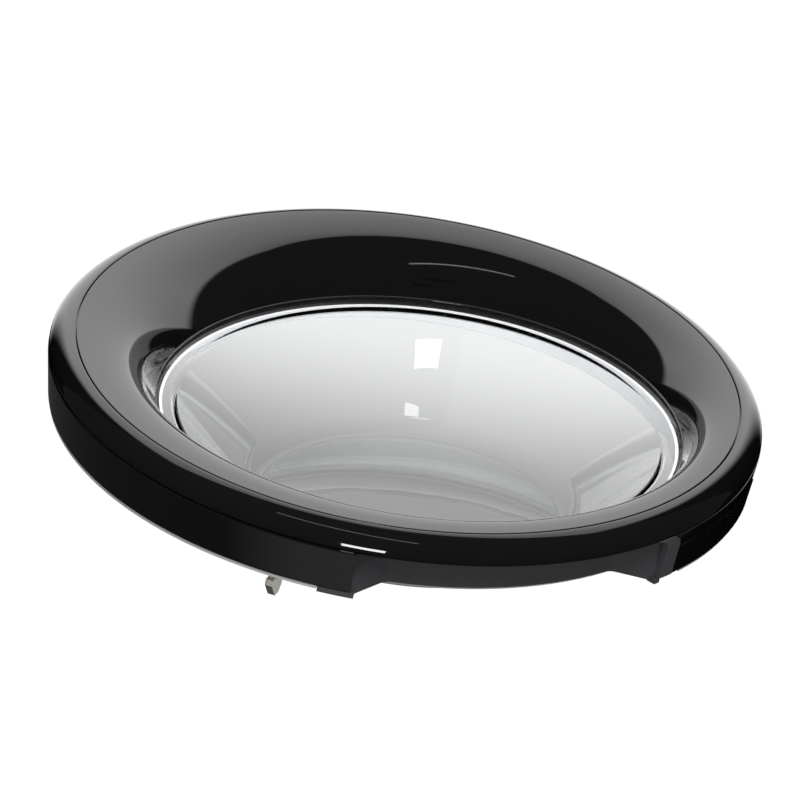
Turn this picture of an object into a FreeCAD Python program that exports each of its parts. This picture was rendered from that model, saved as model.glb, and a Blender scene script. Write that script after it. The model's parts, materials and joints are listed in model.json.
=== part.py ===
import FreeCAD, Part
import math
import operator
import os
from types import SimpleNamespace

import Sketcher
from FreeCAD import Placement, Rotation, Vector

# Front-loading washing machine door, in millimetres and degrees.
#
# The door is drawn face up, as it would lie on a bench: X to the right, Y to the top of the door,
# Z towards the person who looks at it, and Z = 0 on the machine's front panel. Each finished piece
# is then stood upright, so that its front faces -Y and +Z is up.

DRIVING_SIZES = {
    # Front frame
    "ring_diameter": 470.0,
    "frame_width": 15.8,
    "crest_height": 50.0,
    "shoulder_reach": 12.56,
    "shoulder_drop": 7.11,
    "shoulder_round": 24.0,
    "bulge_depth": 17.2,
    "bulge_round": 12.46,
    "skirt_taper": 4.0,
    "foot_height": 3.5,
    "frame_wall": 2.8,
    "rim_seat": 3.6,
    "ledge_reach": 6.0,
    "ledge_thickness": 2.6,
    "band_start": 69.0,
    "band_end": 102.0,
    "band_depth": 25.0,
    "band_step": 0.8,
    # Decor ring
    "seam_gap": 0.8,
    "dish_wall": 2.8,
    "dish_power": 2.3,
    "dish_width": 45.1,
    "lip_height": 18.0,
    "lip_step": 0.7,
    "lip_land": 1.2,
    "collar_width": 5.4,
    "collar_height": 5.2,
    "opening_rise": 12.7,
    "opening_tilt": 1.9,
    "post_inset": 12.4,
    "post_diameter": 9.0,
    # Glass bowl and its gasket
    "flange_lap": 7.7,
    "throat_inset": 13.3,
    "throat_round": 6.0,
    "bowl_depth": 65.0,
    "bowl_slope_width": 52.0,
    "bowl_floor_round": 22.0,
    "glass_thickness": 4.5,
    "glass_edge_round": 1.5,
    "gasket_leg": 1.0,
    "gasket_web": 2.0,
    "gasket_front_lap": 6.5,
    "gasket_back_lap": 10.5,
    # Back frame
    "back_wall": 2.4,
    "back_rim_step": 0.7,
    "back_bore_lap": 12.5,
    "clamp_rib_width": 6.0,
    "spigot_wall": 2.4,
    "spigot_height": 6.5,
    "spigot_gap": 0.4,
    "bead_inset": 41.0,
    "bead_width": 4.0,
    "bead_height": 0.6,
    # Finger grip
    "grip_start": 15.0,
    "grip_end": 70.0,
    "grip_roof_depth": 15.0,
    "grip_wall": 2.2,
    "grip_depth": 24.0,
    "grip_lean": 5.5,
    "grip_lead_corner": 20.0,
    "grip_corner": 9.0,
    "grip_sweep_round": 12.0,
    "grip_gap": 0.3,
    "grip_tip_drop": 4.0,
    "grip_toe_span": 4.8,
    "grip_toe_width": 6.6,
    "grip_tab_inset": 4.5,
    "grip_tab_diameter": 10.0,
    "grip_tab_height": 2.6,
    "grip_tab_spread": 24.0,
    # Hinge
    "hinge_inset": 13.0,
    "hinge_height": 20.0,
    "pin_diameter": 8.0,
    "pin_head_diameter": 12.0,
    "pin_head_height": 2.0,
    "pin_tail": 3.6,
    "clip_groove_depth": 0.8,
    "clip_thickness": 1.0,
    "clip_diameter": 14.0,
    "clip_mouth": 5.0,
    "running_gap": 0.05,
    "bush_wall": 1.45,
    "bush_flange": 0.8,
    "bush_flange_diameter": 14.5,
    "knuckle_diameter": 16.0,
    "knuckle_inner": 8.0,
    "knuckle_outer": 20.0,
    "ear_gap": 0.2,
    "ear_thickness": 6.4,
    "ear_diameter": 17.0,
    "base_thickness": 3.0,
    "base_half_length": 43.0,
    "base_overhang": 4.0,
    "base_width": 30.0,
    "base_corner": 5.0,
    "base_hole_diameter": 5.5,
    "base_hole_pitch_across": 16.0,
    "base_hole_pitch_along": 72.0,
    "arm_height": 8.0,
    "arm_thickness": 4.0,
    "arm_inset": 18.0,
    "arm_width": 17.0,
    "arm_half_length": 38.0,
    "arm_corner": 4.0,
    "arm_screw_pitch": 26.0,
    "pocket_half_length": 46.0,
    "pocket_gap": 1.0,
    "pocket_lap": 2.0,
    "pocket_wall": 2.0,
    "backing_thickness": 3.0,
    "notch_roof_depth": 14.0,
    # Latch hook
    "hook_inset": 36.0,
    "hook_height": 21.0,
    "hook_thickness": 5.0,
    "hook_eye_diameter": 14.0,
    "hook_stem_inner": 6.0,
    "hook_stem_outer": 4.0,
    "hook_reach": 27.0,
    "hook_nose": 12.0,
    "hook_catch": 12.0,
    "hook_nose_height": 5.0,
    "hook_tip_round": 2.0,
    "hook_pin_diameter": 5.0,
    "hook_side_gap": 0.5,
    "hook_slot_inner": 13.0,
    "hook_slot_outer": 14.0,
    "hook_slot_half": 5.0,
    "cheek_thickness": 3.8,
    "cheek_half_width": 10.0,
    "cheek_height": 29.0,
    "holder_foot": 10.0,
    "holder_foot_height": 3.0,
    "holder_bridge": 3.0,
    "spring_space": 6.4,
    "spring_wire": 1.1,
    "spring_diameter": 8.6,
    "spring_turns": 4.0,
    "spring_leg": 9.0,
    # Screws and buffers
    "screw_diameter": 3.5,
    "screw_length": 14.0,
    "screw_head_diameter": 7.2,
    "screw_head_height": 1.9,
    "screw_gap": 0.05,
    "short_screw_length": 5.0,
    "arm_screw_diameter": 5.0,
    "arm_screw_head_diameter": 9.6,
    "arm_screw_head_height": 2.4,
    "arm_screw_length": 9.0,
    "buffer_inset": 11.2,
    "buffer_diameter": 10.0,
    "buffer_stem_diameter": 5.0,
    "buffer_stem_length": 5.0,
}

UPPER_POST_ANGLES = (88.0, 112.0, 136.0, 160.0)
LOWER_POST_ANGLES = (200.0, 227.0, 254.0, 281.0, 308.0, 335.0)
POST_ANGLES = UPPER_POST_ANGLES + LOWER_POST_ANGLES
BUFFER_ANGLES = (100.0, 240.0, 322.0)
DISH_STATIONS = (0.0, 0.2, 0.4, 0.6, 0.8, 1.0)
UNDERSIDE_STATIONS = (0.1, 0.25, 0.4, 0.6, 0.8, 1.0)

X_AXIS = Vector(1, 0, 0)
Z_AXIS = Vector(0, 0, 1)
UPRIGHT_TURN = 90.0
QUARTER_TURN = 90.0
CUT_MARGIN = 2.0
EDGE_TOLERANCE = 0.02

doc = FreeCAD.newDocument("washing_machine_door")
sheet = doc.addObject("Spreadsheet::Sheet", "Sizes")
for row, (name, amount) in enumerate(DRIVING_SIZES.items(), start=1):
    sheet.set("A%d" % row, name)
    sheet.set("B%d" % row, str(amount))
    sheet.setAlias("B%d" % row, name)
doc.recompute()

OPERATIONS = {
    "+": operator.add,
    "-": operator.sub,
    "*": operator.mul,
    "/": operator.truediv,
    "^": operator.pow,
}


class Size:
    """A length or angle that carries its value and the expression that gives it."""

    def __init__(self, value, text):
        self.value = float(value)
        self.text = text

    def __add__(self, other):
        return combine(self, "+", other)

    def __radd__(self, other):
        return combine(other, "+", self)

    def __sub__(self, other):
        return combine(self, "-", other)

    def __rsub__(self, other):
        return combine(other, "-", self)

    def __mul__(self, other):
        return combine(self, "*", other)

    def __rmul__(self, other):
        return combine(other, "*", self)

    def __truediv__(self, other):
        return combine(self, "/", other)

    def __rtruediv__(self, other):
        return combine(other, "/", self)

    def __pow__(self, other):
        return combine(self, "^", other)

    def __neg__(self):
        return combine(0, "-", self)


def as_size(amount):
    """A plain number as a size, or the size itself."""
    return amount if isinstance(amount, Size) else Size(amount, repr(float(amount)))


def combine(left, sign, right):
    left = as_size(left)
    right = as_size(right)
    value = OPERATIONS[sign](left.value, right.value)
    return Size(value, "(%s %s %s)" % (left.text, sign, right.text))


def sine(angle):
    angle = as_size(angle)
    return Size(math.sin(math.radians(angle.value)), "sin(%s)" % angle.text)


def cosine(angle):
    angle = as_size(angle)
    return Size(math.cos(math.radians(angle.value)), "cos(%s)" % angle.text)


def polar(radius, angle):
    """The corner of an outline at this radius and angle."""
    return (radius * cosine(angle), radius * sine(angle))


S = SimpleNamespace(**{name: Size(sheet.get(name), "Sizes." + name) for name in DRIVING_SIZES})


# Sizes that several pieces share

RIM_RADIUS = S.ring_diameter / 2
SEAM_RADIUS = RIM_RADIUS - S.frame_width
DISH_RADIUS = SEAM_RADIUS - S.seam_gap
LIP_RADIUS = DISH_RADIUS - S.dish_width
THROAT_RADIUS = LIP_RADIUS - S.throat_inset
BOWL_FLOOR_RADIUS = THROAT_RADIUS - S.bowl_slope_width
FLANGE_RADIUS = LIP_RADIUS + S.flange_lap
BACK_BORE_RADIUS = FLANGE_RADIUS - S.back_bore_lap
SEAT_Z = S.crest_height - S.rim_seat
LEDGE_RADIUS = SEAM_RADIUS - S.ledge_reach
WIDEST_Z = S.crest_height - S.bulge_depth
FOOT_Z = S.foot_height
FOOT_RADIUS = RIM_RADIUS - S.skirt_taper
BACK_Z = FOOT_Z - S.back_wall
LIP_Z = S.lip_height
LIP_DEPTH = S.crest_height - LIP_Z
FLANGE_FRONT = -S.lip_land - S.gasket_leg
FLANGE_BACK = FLANGE_FRONT - S.glass_thickness
GASKET_BACK = FLANGE_BACK - S.gasket_leg
POST_RADIUS = DISH_RADIUS - S.post_inset
BEAD_RADIUS = FOOT_RADIUS - S.bead_inset
BUFFER_RADIUS = FOOT_RADIUS - S.buffer_inset
GRIP_MIDDLE = (S.grip_start + S.grip_end) / 2
GRIP_ROOF_Z = S.crest_height - S.grip_roof_depth
GRIP_BACK_RADIUS = FOOT_RADIUS - S.grip_depth
GRIP_SHELL_RADIUS = GRIP_BACK_RADIUS - S.grip_wall
GRIP_TAB_RADIUS = GRIP_SHELL_RADIUS - S.grip_tab_inset
GRIP_PLATE_RADIUS = GRIP_SHELL_RADIUS - S.grip_gap
GRIP_TABS = (GRIP_MIDDLE - S.grip_tab_spread / 2, GRIP_MIDDLE + S.grip_tab_spread / 2)
NOTCH_TOP = S.crest_height - S.notch_roof_depth
HINGE_OFFSET = RIM_RADIUS - S.hinge_inset
BASE_OUTER = HINGE_OFFSET + S.base_overhang
BASE_INNER = BASE_OUTER - S.base_width
ARM_OUTER = HINGE_OFFSET - S.arm_inset
ARM_INNER = ARM_OUTER - S.arm_width
POCKET_INNER = ARM_INNER - S.pocket_gap
POCKET_FLOOR_OUTER = ARM_OUTER + S.pocket_lap
POCKET_FLOOR_Z = S.arm_height + S.arm_thickness
EAR_INNER = S.knuckle_outer + S.bush_flange + S.ear_gap
EAR_OUTER = EAR_INNER + S.ear_thickness
HOOK_OFFSET = RIM_RADIUS - S.hook_inset
HOOK_HALF = S.hook_thickness / 2
CHEEK_LOWER = -HOOK_HALF - S.hook_side_gap
CHEEK_UPPER = HOOK_HALF + S.hook_side_gap + S.spring_space


# Ways to make a piece


def bind(item, path, amount):
    item.setExpression(path, as_size(amount).text)


def place(item, x=0, y=0, z=0, axis=None, angle=0):
    """Puts an object at x, y, z, turned about one axis, with every number tied to the sheet."""
    if axis is not None:
        item.Placement = Placement(Vector(), Rotation(axis, as_size(angle).value))
        bind(item, "Placement.Rotation.Angle", angle)
    bind(item, "Placement.Base.x", x)
    bind(item, "Placement.Base.y", y)
    bind(item, "Placement.Base.z", z)
    return item


def rod(label, radius, height, x=0, y=0, z=0, axis=None, angle=0, sweep=360):
    """A round bar, or a slice of one, that rises along Z from x, y, z."""
    item = doc.addObject("Part::Cylinder", label)
    bind(item, "Radius", radius)
    bind(item, "Height", height)
    bind(item, "Angle", sweep)
    return place(item, x, y, z, axis, angle)


def cross_rod(label, radius, x, y_low, y_high, z):
    """A round bar that lies along Y."""
    return rod(label, radius, y_high - y_low, x, y_low, z, X_AXIS, -QUARTER_TURN)


def cone(label, low_radius, high_radius, height, x=0, y=0, z=0, axis=None, angle=0, sweep=360):
    item = doc.addObject("Part::Cone", label)
    bind(item, "Radius1", low_radius)
    bind(item, "Radius2", high_radius)
    bind(item, "Height", height)
    bind(item, "Angle", sweep)
    return place(item, x, y, z, axis, angle)


def block(label, x_span, y_span, z_span):
    """A box between two ends on each axis."""
    item = doc.addObject("Part::Box", label)
    bind(item, "Length", x_span[1] - x_span[0])
    bind(item, "Width", y_span[1] - y_span[0])
    bind(item, "Height", z_span[1] - z_span[0])
    return place(item, x_span[0], y_span[0], z_span[0])


def fuse(label, *items):
    item = doc.addObject("Part::MultiFuse", label)
    item.Shapes = list(items)
    return item


def common(label, *items):
    item = doc.addObject("Part::MultiCommon", label)
    item.Shapes = list(items)
    return item


def cut(label, base, *tools):
    item = doc.addObject("Part::Cut", label)
    item.Base = base
    item.Tool = tools[0] if len(tools) == 1 else fuse(label + "_tools", *tools)
    return item


def group(label, *items):
    item = doc.addObject("Part::Compound", label)
    item.Links = list(items)
    return item


def new_body(label):
    return doc.addObject("PartDesign::Body", label)


def new_sketch(body, label, plane_role, corners):
    """A sketch on one of the body's own planes, with a closed outline through the corners."""
    plane = [item for item in body.Origin.OriginFeatures if item.Role == plane_role][0]
    sketch = body.newObject("Sketcher::SketchObject", label)
    sketch.AttachmentSupport = [(plane, "")]
    sketch.MapMode = "FlatFace"
    draw(sketch, corners)
    return sketch


def draw(sketch, corners):
    """Draws a closed outline and ties each corner, and each arc's radius, to its sizes.

    A corner is (across, up), or (across, up, radius, turn) where the side that starts there is an
    arc: turn is +1 for one that turns left along the outline and -1 for one that turns right.
    """
    count = len(corners)
    points = [Vector(as_size(c[0]).value, as_size(c[1]).value, 0) for c in corners]
    ends = []
    for index, corner in enumerate(corners):
        start = points[index]
        end = points[(index + 1) % count]
        if len(corner) == 2:
            sketch.addGeometry(Part.LineSegment(start, end))
            ends.append((1, 2))
        else:
            sketch.addGeometry(arc_between(start, end, as_size(corner[2]).value, corner[3]))
            ends.append((1, 2) if corner[3] > 0 else (2, 1))
    for index in range(count):
        follower = (index + 1) % count
        sketch.addConstraint(
            Sketcher.Constraint("Coincident", index, ends[index][1], follower, ends[follower][0])
        )
    for index, corner in enumerate(corners):
        for kind, amount in (("DistanceX", corner[0]), ("DistanceY", corner[1])):
            amount = as_size(amount)
            tie(sketch, Sketcher.Constraint(kind, -1, 1, index, ends[index][0], amount.value), amount)
        if len(corner) > 2:
            radius = as_size(corner[2])
            tie(sketch, Sketcher.Constraint("Radius", index, radius.value), radius)


def tie(sketch, constraint, amount):
    number = sketch.addConstraint(constraint)
    sketch.setExpression("Constraints[%d]" % number, amount.text)


def arc_between(start, end, radius, turn):
    """The short arc of this radius from start to end, turning left or right."""
    chord = end - start
    half = chord.Length / 2
    to_left = Vector(-chord.y, chord.x, 0).normalize()
    centre = (start + end) * 0.5 + to_left * (turn * math.sqrt(radius * radius - half * half))
    first = start if turn > 0 else end
    last = end if turn > 0 else start
    first_angle = math.atan2(first.y - centre.y, first.x - centre.x)
    last_angle = math.atan2(last.y - centre.y, last.x - centre.x)
    return Part.ArcOfCircle(Part.Circle(centre, Z_AXIS, radius), first_angle, last_angle)


def turned(label, corners):
    """A body turned about Z from an outline of (radius, height) corners."""
    body = new_body(label)
    sketch = new_sketch(body, label + "_outline", "XZ_Plane", corners)
    feature = body.newObject("PartDesign::Revolution", label + "_turn")
    feature.Profile = sketch
    feature.ReferenceAxis = (sketch, ["V_Axis"])
    feature.Angle = 360
    return body


def padded(label, plane_role, corners, length, offset=0):
    """A body that rises from an outline on one of its planes, from offset to offset plus length."""
    body = new_body(label)
    sketch = new_sketch(body, label + "_outline", plane_role, corners)
    bind(sketch, "AttachmentOffset.Base.z", offset)
    feature = body.newObject("PartDesign::Pad", label + "_pad")
    feature.Profile = sketch
    bind(feature, "Length", length)
    return body


def round_edges(body, label, radius, wanted):
    """Rounds the edges of the body's last feature that the test picks."""
    doc.recompute()
    base = body.Tip
    names = ["Edge%d" % n for n, edge in enumerate(base.Shape.Edges, start=1) if wanted(edge)]
    feature = body.newObject("PartDesign::Fillet", label)
    feature.Base = (base, names)
    bind(feature, "Radius", radius)
    return feature


def circle_at(radius, height):
    """Picks the full circles of this radius at this height."""
    radius = as_size(radius).value
    height = as_size(height).value

    def wanted(edge):
        curve = edge.Curve
        return (
            isinstance(curve, Part.Circle)
            and abs(curve.Radius - radius) < EDGE_TOLERANCE
            and abs(curve.Center.z - height) < EDGE_TOLERANCE
        )

    return wanted


def upright_at(corner):
    """Picks the straight edges that run along Z through this corner of an outline."""
    x = as_size(corner[0]).value
    y = as_size(corner[1]).value

    def wanted(edge):
        return all(math.hypot(v.X - x, v.Y - y) < EDGE_TOLERANCE for v in edge.Vertexes)

    return wanted


def either(*tests):
    return lambda edge: any(test(edge) for test in tests)


def on_glass_axis(item):
    """Seats a piece on the axis of the glass, which is raised and tilted from the ring's axis."""
    return place(item, 0, S.opening_rise, LIP_Z, X_AXIS, S.opening_tilt)


def stand_upright(item):
    """Stands a finished piece, drawn face up, on its edge as it hangs on the machine."""
    return place(item, 0, 0, 0, X_AXIS, UPRIGHT_TURN)


def stand_glass_upright(item):
    """Stands up a piece that is drawn about the axis of the glass."""
    return place(item, 0, -LIP_Z, S.opening_rise, X_AXIS, UPRIGHT_TURN + S.opening_tilt)


def sunk_screw(label, diameter, length, head_diameter, head_height, x, y, z):
    """A countersunk screw that goes in towards the front, with its head flush at z."""
    head = cone(label + "_head", head_diameter / 2, diameter / 2, head_height, x, y, z)
    shank = rod(label + "_shank", diameter / 2, length, x, y, z)
    return fuse(label, head, shank)


def sunk_hole(label, diameter, length, head_diameter, head_height, x, y, z):
    """The hole for such a screw, wider by the screw gap."""
    wide = diameter / 2 + S.screw_gap
    top = head_diameter / 2 + S.screw_gap
    sink = cone(label + "_sink", top, wide, head_height, x, y, z)
    bore = rod(label + "_bore", wide, length, x, y, z)
    return fuse(label, sink, bore)


def frame_screw_places():
    return [polar(POST_RADIUS, angle) for angle in POST_ANGLES]


def grip_screw_places():
    return [polar(GRIP_TAB_RADIUS, angle) for angle in GRIP_TABS]


def hook_screw_places():
    lower = CHEEK_LOWER - S.cheek_thickness - S.holder_foot / 2
    upper = CHEEK_UPPER + S.cheek_thickness + S.holder_foot / 2
    return [(HOOK_OFFSET, lower), (HOOK_OFFSET, upper)]


def arm_screw_places():
    middle = -(ARM_OUTER + ARM_INNER) / 2
    return [(middle, S.arm_screw_pitch * step) for step in (-1, 0, 1)]


# The front of the door


def make_outer_frame():
    """The moulded front frame: a rounded bulge, a tapered skirt and the ledge for the decor ring."""
    shoulder = SEAM_RADIUS + S.shoulder_reach
    ledge_z = SEAT_Z - S.ledge_thickness
    shell = turned(
        "frame_shell",
        [
            (SEAM_RADIUS, S.crest_height, S.shoulder_round, -1),
            (shoulder, S.crest_height - S.shoulder_drop, S.bulge_round, -1),
            (RIM_RADIUS, WIDEST_Z),
            (FOOT_RADIUS, FOOT_Z),
            (FOOT_RADIUS - S.frame_wall, FOOT_Z),
            (RIM_RADIUS - S.frame_wall, WIDEST_Z, S.bulge_round, 1),
            (shoulder - 2 * S.frame_wall, ledge_z),
            (LEDGE_RADIUS, ledge_z),
            (LEDGE_RADIUS, SEAT_Z),
            (SEAM_RADIUS, SEAT_Z),
        ],
    )
    frame = fuse("frame_with_band", shell, make_skirt_band())
    reach = RIM_RADIUS + CUT_MARGIN
    notch = block(
        "hinge_notch",
        (-reach, -ARM_OUTER),
        (-S.pocket_half_length, S.pocket_half_length),
        (-CUT_MARGIN, NOTCH_TOP),
    )
    return cut("outer_frame", frame, make_grip_window(), notch)


def make_skirt_band():
    """The lower skirt beside the grip, which stands a little proud and ends in a small step."""
    band_z = S.crest_height - S.band_depth
    slope = S.skirt_taper / (WIDEST_Z - FOOT_Z)
    band_radius = FOOT_RADIUS + slope * (band_z - FOOT_Z)
    height = band_z - FOOT_Z
    sweep = S.band_end - S.band_start
    inset = S.frame_wall / 2
    proud = cone(
        "band_outside",
        FOOT_RADIUS + S.band_step,
        band_radius + S.band_step,
        height,
        z=FOOT_Z,
        axis=Z_AXIS,
        angle=S.band_start,
        sweep=sweep,
    )
    hollow = cone("band_inside", FOOT_RADIUS - inset, band_radius - inset, height, z=FOOT_Z)
    return cut("skirt_band", proud, hollow)


def make_grip_window():
    """The window in the skirt where the fingers go in, with rounded upper corners."""
    body = padded(
        "grip_window",
        "XY_Plane",
        [
            polar(RIM_RADIUS + CUT_MARGIN, S.grip_start)
            + (RIM_RADIUS + CUT_MARGIN, 1),
            polar(RIM_RADIUS + CUT_MARGIN, S.grip_end),
            polar(GRIP_BACK_RADIUS, S.grip_end) + (GRIP_BACK_RADIUS, -1),
            polar(GRIP_BACK_RADIUS, S.grip_start),
        ],
        GRIP_ROOF_Z + CUT_MARGIN,
        -CUT_MARGIN,
    )
    corners = (
        ("grip_window_lead", S.grip_lead_corner, S.grip_start),
        ("grip_window_end", S.grip_corner, S.grip_end),
    )
    for label, radius, angle in corners:
        round_edges(body, label, radius, roof_edge_at(angle))
    return body


def roof_edge_at(angle):
    """Picks the straight edge of the grip window's roof that runs out at this angle."""
    roof = GRIP_ROOF_Z.value
    turn = as_size(angle).value

    def wanted(edge):
        if not isinstance(edge.Curve, Part.Line):
            return False
        level = all(abs(v.Z - roof) < EDGE_TOLERANCE for v in edge.Vertexes)
        turns = [math.degrees(math.atan2(v.Y, v.X)) for v in edge.Vertexes]
        return level and all(abs(t - turn) < EDGE_TOLERANCE for t in turns)

    return wanted


def dish_depth(share):
    """How far the decor ring's face lies behind the crest at a share of the way to the lip."""
    return LIP_DEPTH * as_size(share) ** S.dish_power


def dish_section(label, share, wall=0):
    """One circle of the decor ring's face, or of its underside a wall thickness below."""
    slope = LIP_DEPTH * S.dish_power * as_size(share) ** (S.dish_power - 1)
    slope = slope / (DISH_RADIUS - LIP_RADIUS)
    steep = (1 + slope * slope) ** 0.5
    circle = doc.addObject("Part::Circle", label)
    radius = DISH_RADIUS - (DISH_RADIUS - LIP_RADIUS) * share + wall * slope / steep
    bind(circle, "Radius", radius)
    height = S.crest_height - dish_depth(share) - wall / steep
    if share == 0:
        return place(circle, 0, 0, height)
    tilt = S.opening_tilt * as_size(share) ** S.dish_power
    return place(circle, 0, S.opening_rise * share, height, X_AXIS, tilt)


def loft(label, sections):
    item = doc.addObject("Part::Loft", label)
    item.Sections = sections
    item.Solid = True
    item.Ruled = False
    return item


def make_dish_ring():
    """The decor ring: a dished funnel, round at the seam and raised and tilted at the lip."""
    sections = [dish_section("face_%d" % n, share) for n, share in enumerate(DISH_STATIONS)]
    face = loft("dish_face", sections)
    sections = [
        dish_section("underside_%d" % n, share, wall=S.dish_wall)
        for n, share in enumerate(UNDERSIDE_STATIONS)
    ]
    underside = loft("dish_underside", sections)
    rim = rod("dish_rim", DISH_RADIUS, S.rim_seat, z=SEAT_Z)
    lip_radius = LIP_RADIUS - S.lip_step
    collar = rod("dish_collar", lip_radius + S.collar_width, S.collar_height)
    raise_on_glass_axis(collar, -S.lip_land)
    bore = rod("dish_bore", lip_radius, S.collar_height + LIP_DEPTH)
    raise_on_glass_axis(bore, -LIP_DEPTH)
    posts = []
    pilots = []
    for number, (x, y) in enumerate(frame_screw_places()):
        posts.append(rod("post_%d" % number, S.post_diameter / 2, SEAT_Z - FOOT_Z, x, y, FOOT_Z))
        pilots.append(
            rod(
                "pilot_%d" % number,
                S.screw_diameter / 2 + S.screw_gap,
                S.screw_length - S.back_wall + CUT_MARGIN,
                x,
                y,
                FOOT_Z,
            )
        )
    blank = fuse("dish_blank", underside, rim, collar, *posts)
    seat = rod("gasket_seat", FLANGE_RADIUS + S.gasket_web + S.seam_gap, LIP_DEPTH)
    raise_on_glass_axis(seat, -S.lip_land - LIP_DEPTH)
    dished = cut("dish_dished", blank, face)
    opened = cut("dish_opened", dished, bore)
    seated = cut("dish_seated", opened, seat)
    return cut("dish_ring", seated, *pilots)


def raise_on_glass_axis(item, along):
    """Seats a piece on the axis of the glass, this far in front of the lip's plane."""
    return place(
        item,
        0,
        S.opening_rise - along * sine(S.opening_tilt),
        LIP_Z + along * cosine(S.opening_tilt),
        X_AXIS,
        S.opening_tilt,
    )


def make_glass_bowl():
    """The pressed glass bowl: a flat flange, a round throat, a sloped wall and a flat floor."""
    throat = THROAT_RADIUS
    floor = BOWL_FLOOR_RADIUS
    slope = (throat - floor) / (S.bowl_depth + FLANGE_FRONT)
    outset = S.glass_thickness * (1 + slope * slope) ** 0.5 - S.glass_thickness * slope
    floor_z = -S.bowl_depth
    outside_z = floor_z - S.glass_thickness
    bowl = turned(
        "glass_bowl",
        [
            (FLANGE_RADIUS, FLANGE_FRONT),
            (FLANGE_RADIUS, FLANGE_BACK),
            (throat + outset, FLANGE_BACK),
            (floor + outset, outside_z),
            (0, outside_z),
            (0, floor_z),
            (floor, floor_z),
            (throat, FLANGE_FRONT),
        ],
    )
    inside = S.bowl_floor_round
    rounds = [
        ("bowl_floor_inside", inside, circle_at(floor, floor_z)),
        ("bowl_floor_outside", inside + S.glass_thickness, circle_at(floor + outset, outside_z)),
        ("bowl_throat", S.throat_round, circle_at(throat, FLANGE_FRONT)),
        ("bowl_root", S.throat_round / 2, circle_at(throat + outset, FLANGE_BACK)),
        (
            "bowl_edge",
            S.glass_edge_round,
            either(
                circle_at(FLANGE_RADIUS, FLANGE_FRONT), circle_at(FLANGE_RADIUS, FLANGE_BACK)
            ),
        ),
    ]
    for label, radius, test in rounds:
        round_edges(bowl, label, radius, test)
    return bowl


def make_glass_gasket():
    """The rubber channel that wraps the edge of the glass flange."""
    web = FLANGE_RADIUS + S.gasket_web
    front = FLANGE_RADIUS - S.gasket_front_lap
    back = FLANGE_RADIUS - S.gasket_back_lap
    return turned(
        "glass_gasket",
        [
            (front, -S.lip_land),
            (web, -S.lip_land),
            (web, GASKET_BACK),
            (back, GASKET_BACK),
            (back, FLANGE_BACK),
            (FLANGE_RADIUS, FLANGE_BACK),
            (FLANGE_RADIUS, FLANGE_FRONT),
            (front, FLANGE_FRONT),
        ],
    )


def make_grip_insert():
    """The finger recess: a roof, a curved back wall and two ends that sweep out to the skirt."""
    far = RIM_RADIUS + CUT_MARGIN
    shell = GRIP_SHELL_RADIUS
    back = GRIP_BACK_RADIUS
    inset = S.frame_wall + S.grip_gap
    mouth = FOOT_RADIUS - inset
    turn_of_wall = S.grip_wall / back * (180 / math.pi)
    first = S.grip_start - turn_of_wall
    last = S.grip_end + turn_of_wall
    low = FOOT_Z - S.grip_tip_drop - CUT_MARGIN
    outer_corners = [polar(shell, last - S.grip_lean), polar(shell, first + S.grip_lean)]
    body = padded(
        "grip_tub",
        "XY_Plane",
        [
            polar(far, first) + (far, 1),
            polar(far, last),
            polar(mouth, last),
            outer_corners[0] + (shell, -1),
            outer_corners[1],
            polar(mouth, first),
        ],
        GRIP_ROOF_Z + S.grip_wall - low,
        low,
    )
    round_edges(
        body,
        "grip_tub_corners",
        S.grip_sweep_round + S.grip_wall,
        either(*[upright_at(corner) for corner in outer_corners]),
    )
    wide = far + CUT_MARGIN
    inner_corners = [
        polar(back, last - S.grip_lean - turn_of_wall),
        polar(back, first + S.grip_lean + turn_of_wall),
    ]
    hollow = padded(
        "grip_hollow",
        "XY_Plane",
        [
            polar(wide, S.grip_start) + (wide, 1),
            polar(wide, S.grip_end),
            polar(mouth, S.grip_end),
            inner_corners[0] + (back, -1),
            inner_corners[1],
            polar(mouth, S.grip_start),
        ],
        GRIP_ROOF_Z - low + CUT_MARGIN,
        low - CUT_MARGIN,
    )
    round_edges(
        hollow,
        "grip_hollow_corners",
        S.grip_sweep_round,
        either(*[upright_at(corner) for corner in inner_corners]),
    )
    tub = cut("grip_recess", body, hollow)
    skin = FOOT_RADIUS - S.grip_gap
    tip_z = FOOT_Z - S.grip_tip_drop
    foot_z = FOOT_Z - S.grip_gap / 2
    envelope = turned(
        "grip_envelope",
        [
            (shell - CUT_MARGIN, GRIP_ROOF_Z + S.grip_wall),
            (shell - CUT_MARGIN, FOOT_Z),
            (back, FOOT_Z),
            (skin, tip_z),
            (skin, foot_z),
            (mouth, foot_z),
            (RIM_RADIUS - inset, WIDEST_Z),
            (RIM_RADIUS - inset, GRIP_ROOF_Z),
            (RIM_RADIUS - inset - S.grip_gap, GRIP_ROOF_Z + S.grip_wall),
        ],
    )
    tabs = []
    pilots = []
    for number, (x, y) in enumerate(grip_screw_places()):
        tab_height = S.grip_tab_height
        tabs.append(rod("grip_tab_%d" % number, S.grip_tab_diameter / 2, tab_height, x, y, FOOT_Z))
        bore = S.screw_diameter / 2 + S.screw_gap
        pilots.append(rod("grip_pilot_%d" % number, bore, tab_height, x, y, FOOT_Z))
    wall = common("grip_wall_shape", tub, envelope)
    walls = fuse("grip_with_tabs", wall, *tabs, *make_grip_toes(skin, tip_z, first, last))
    return cut("grip_insert", walls, *pilots)


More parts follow.
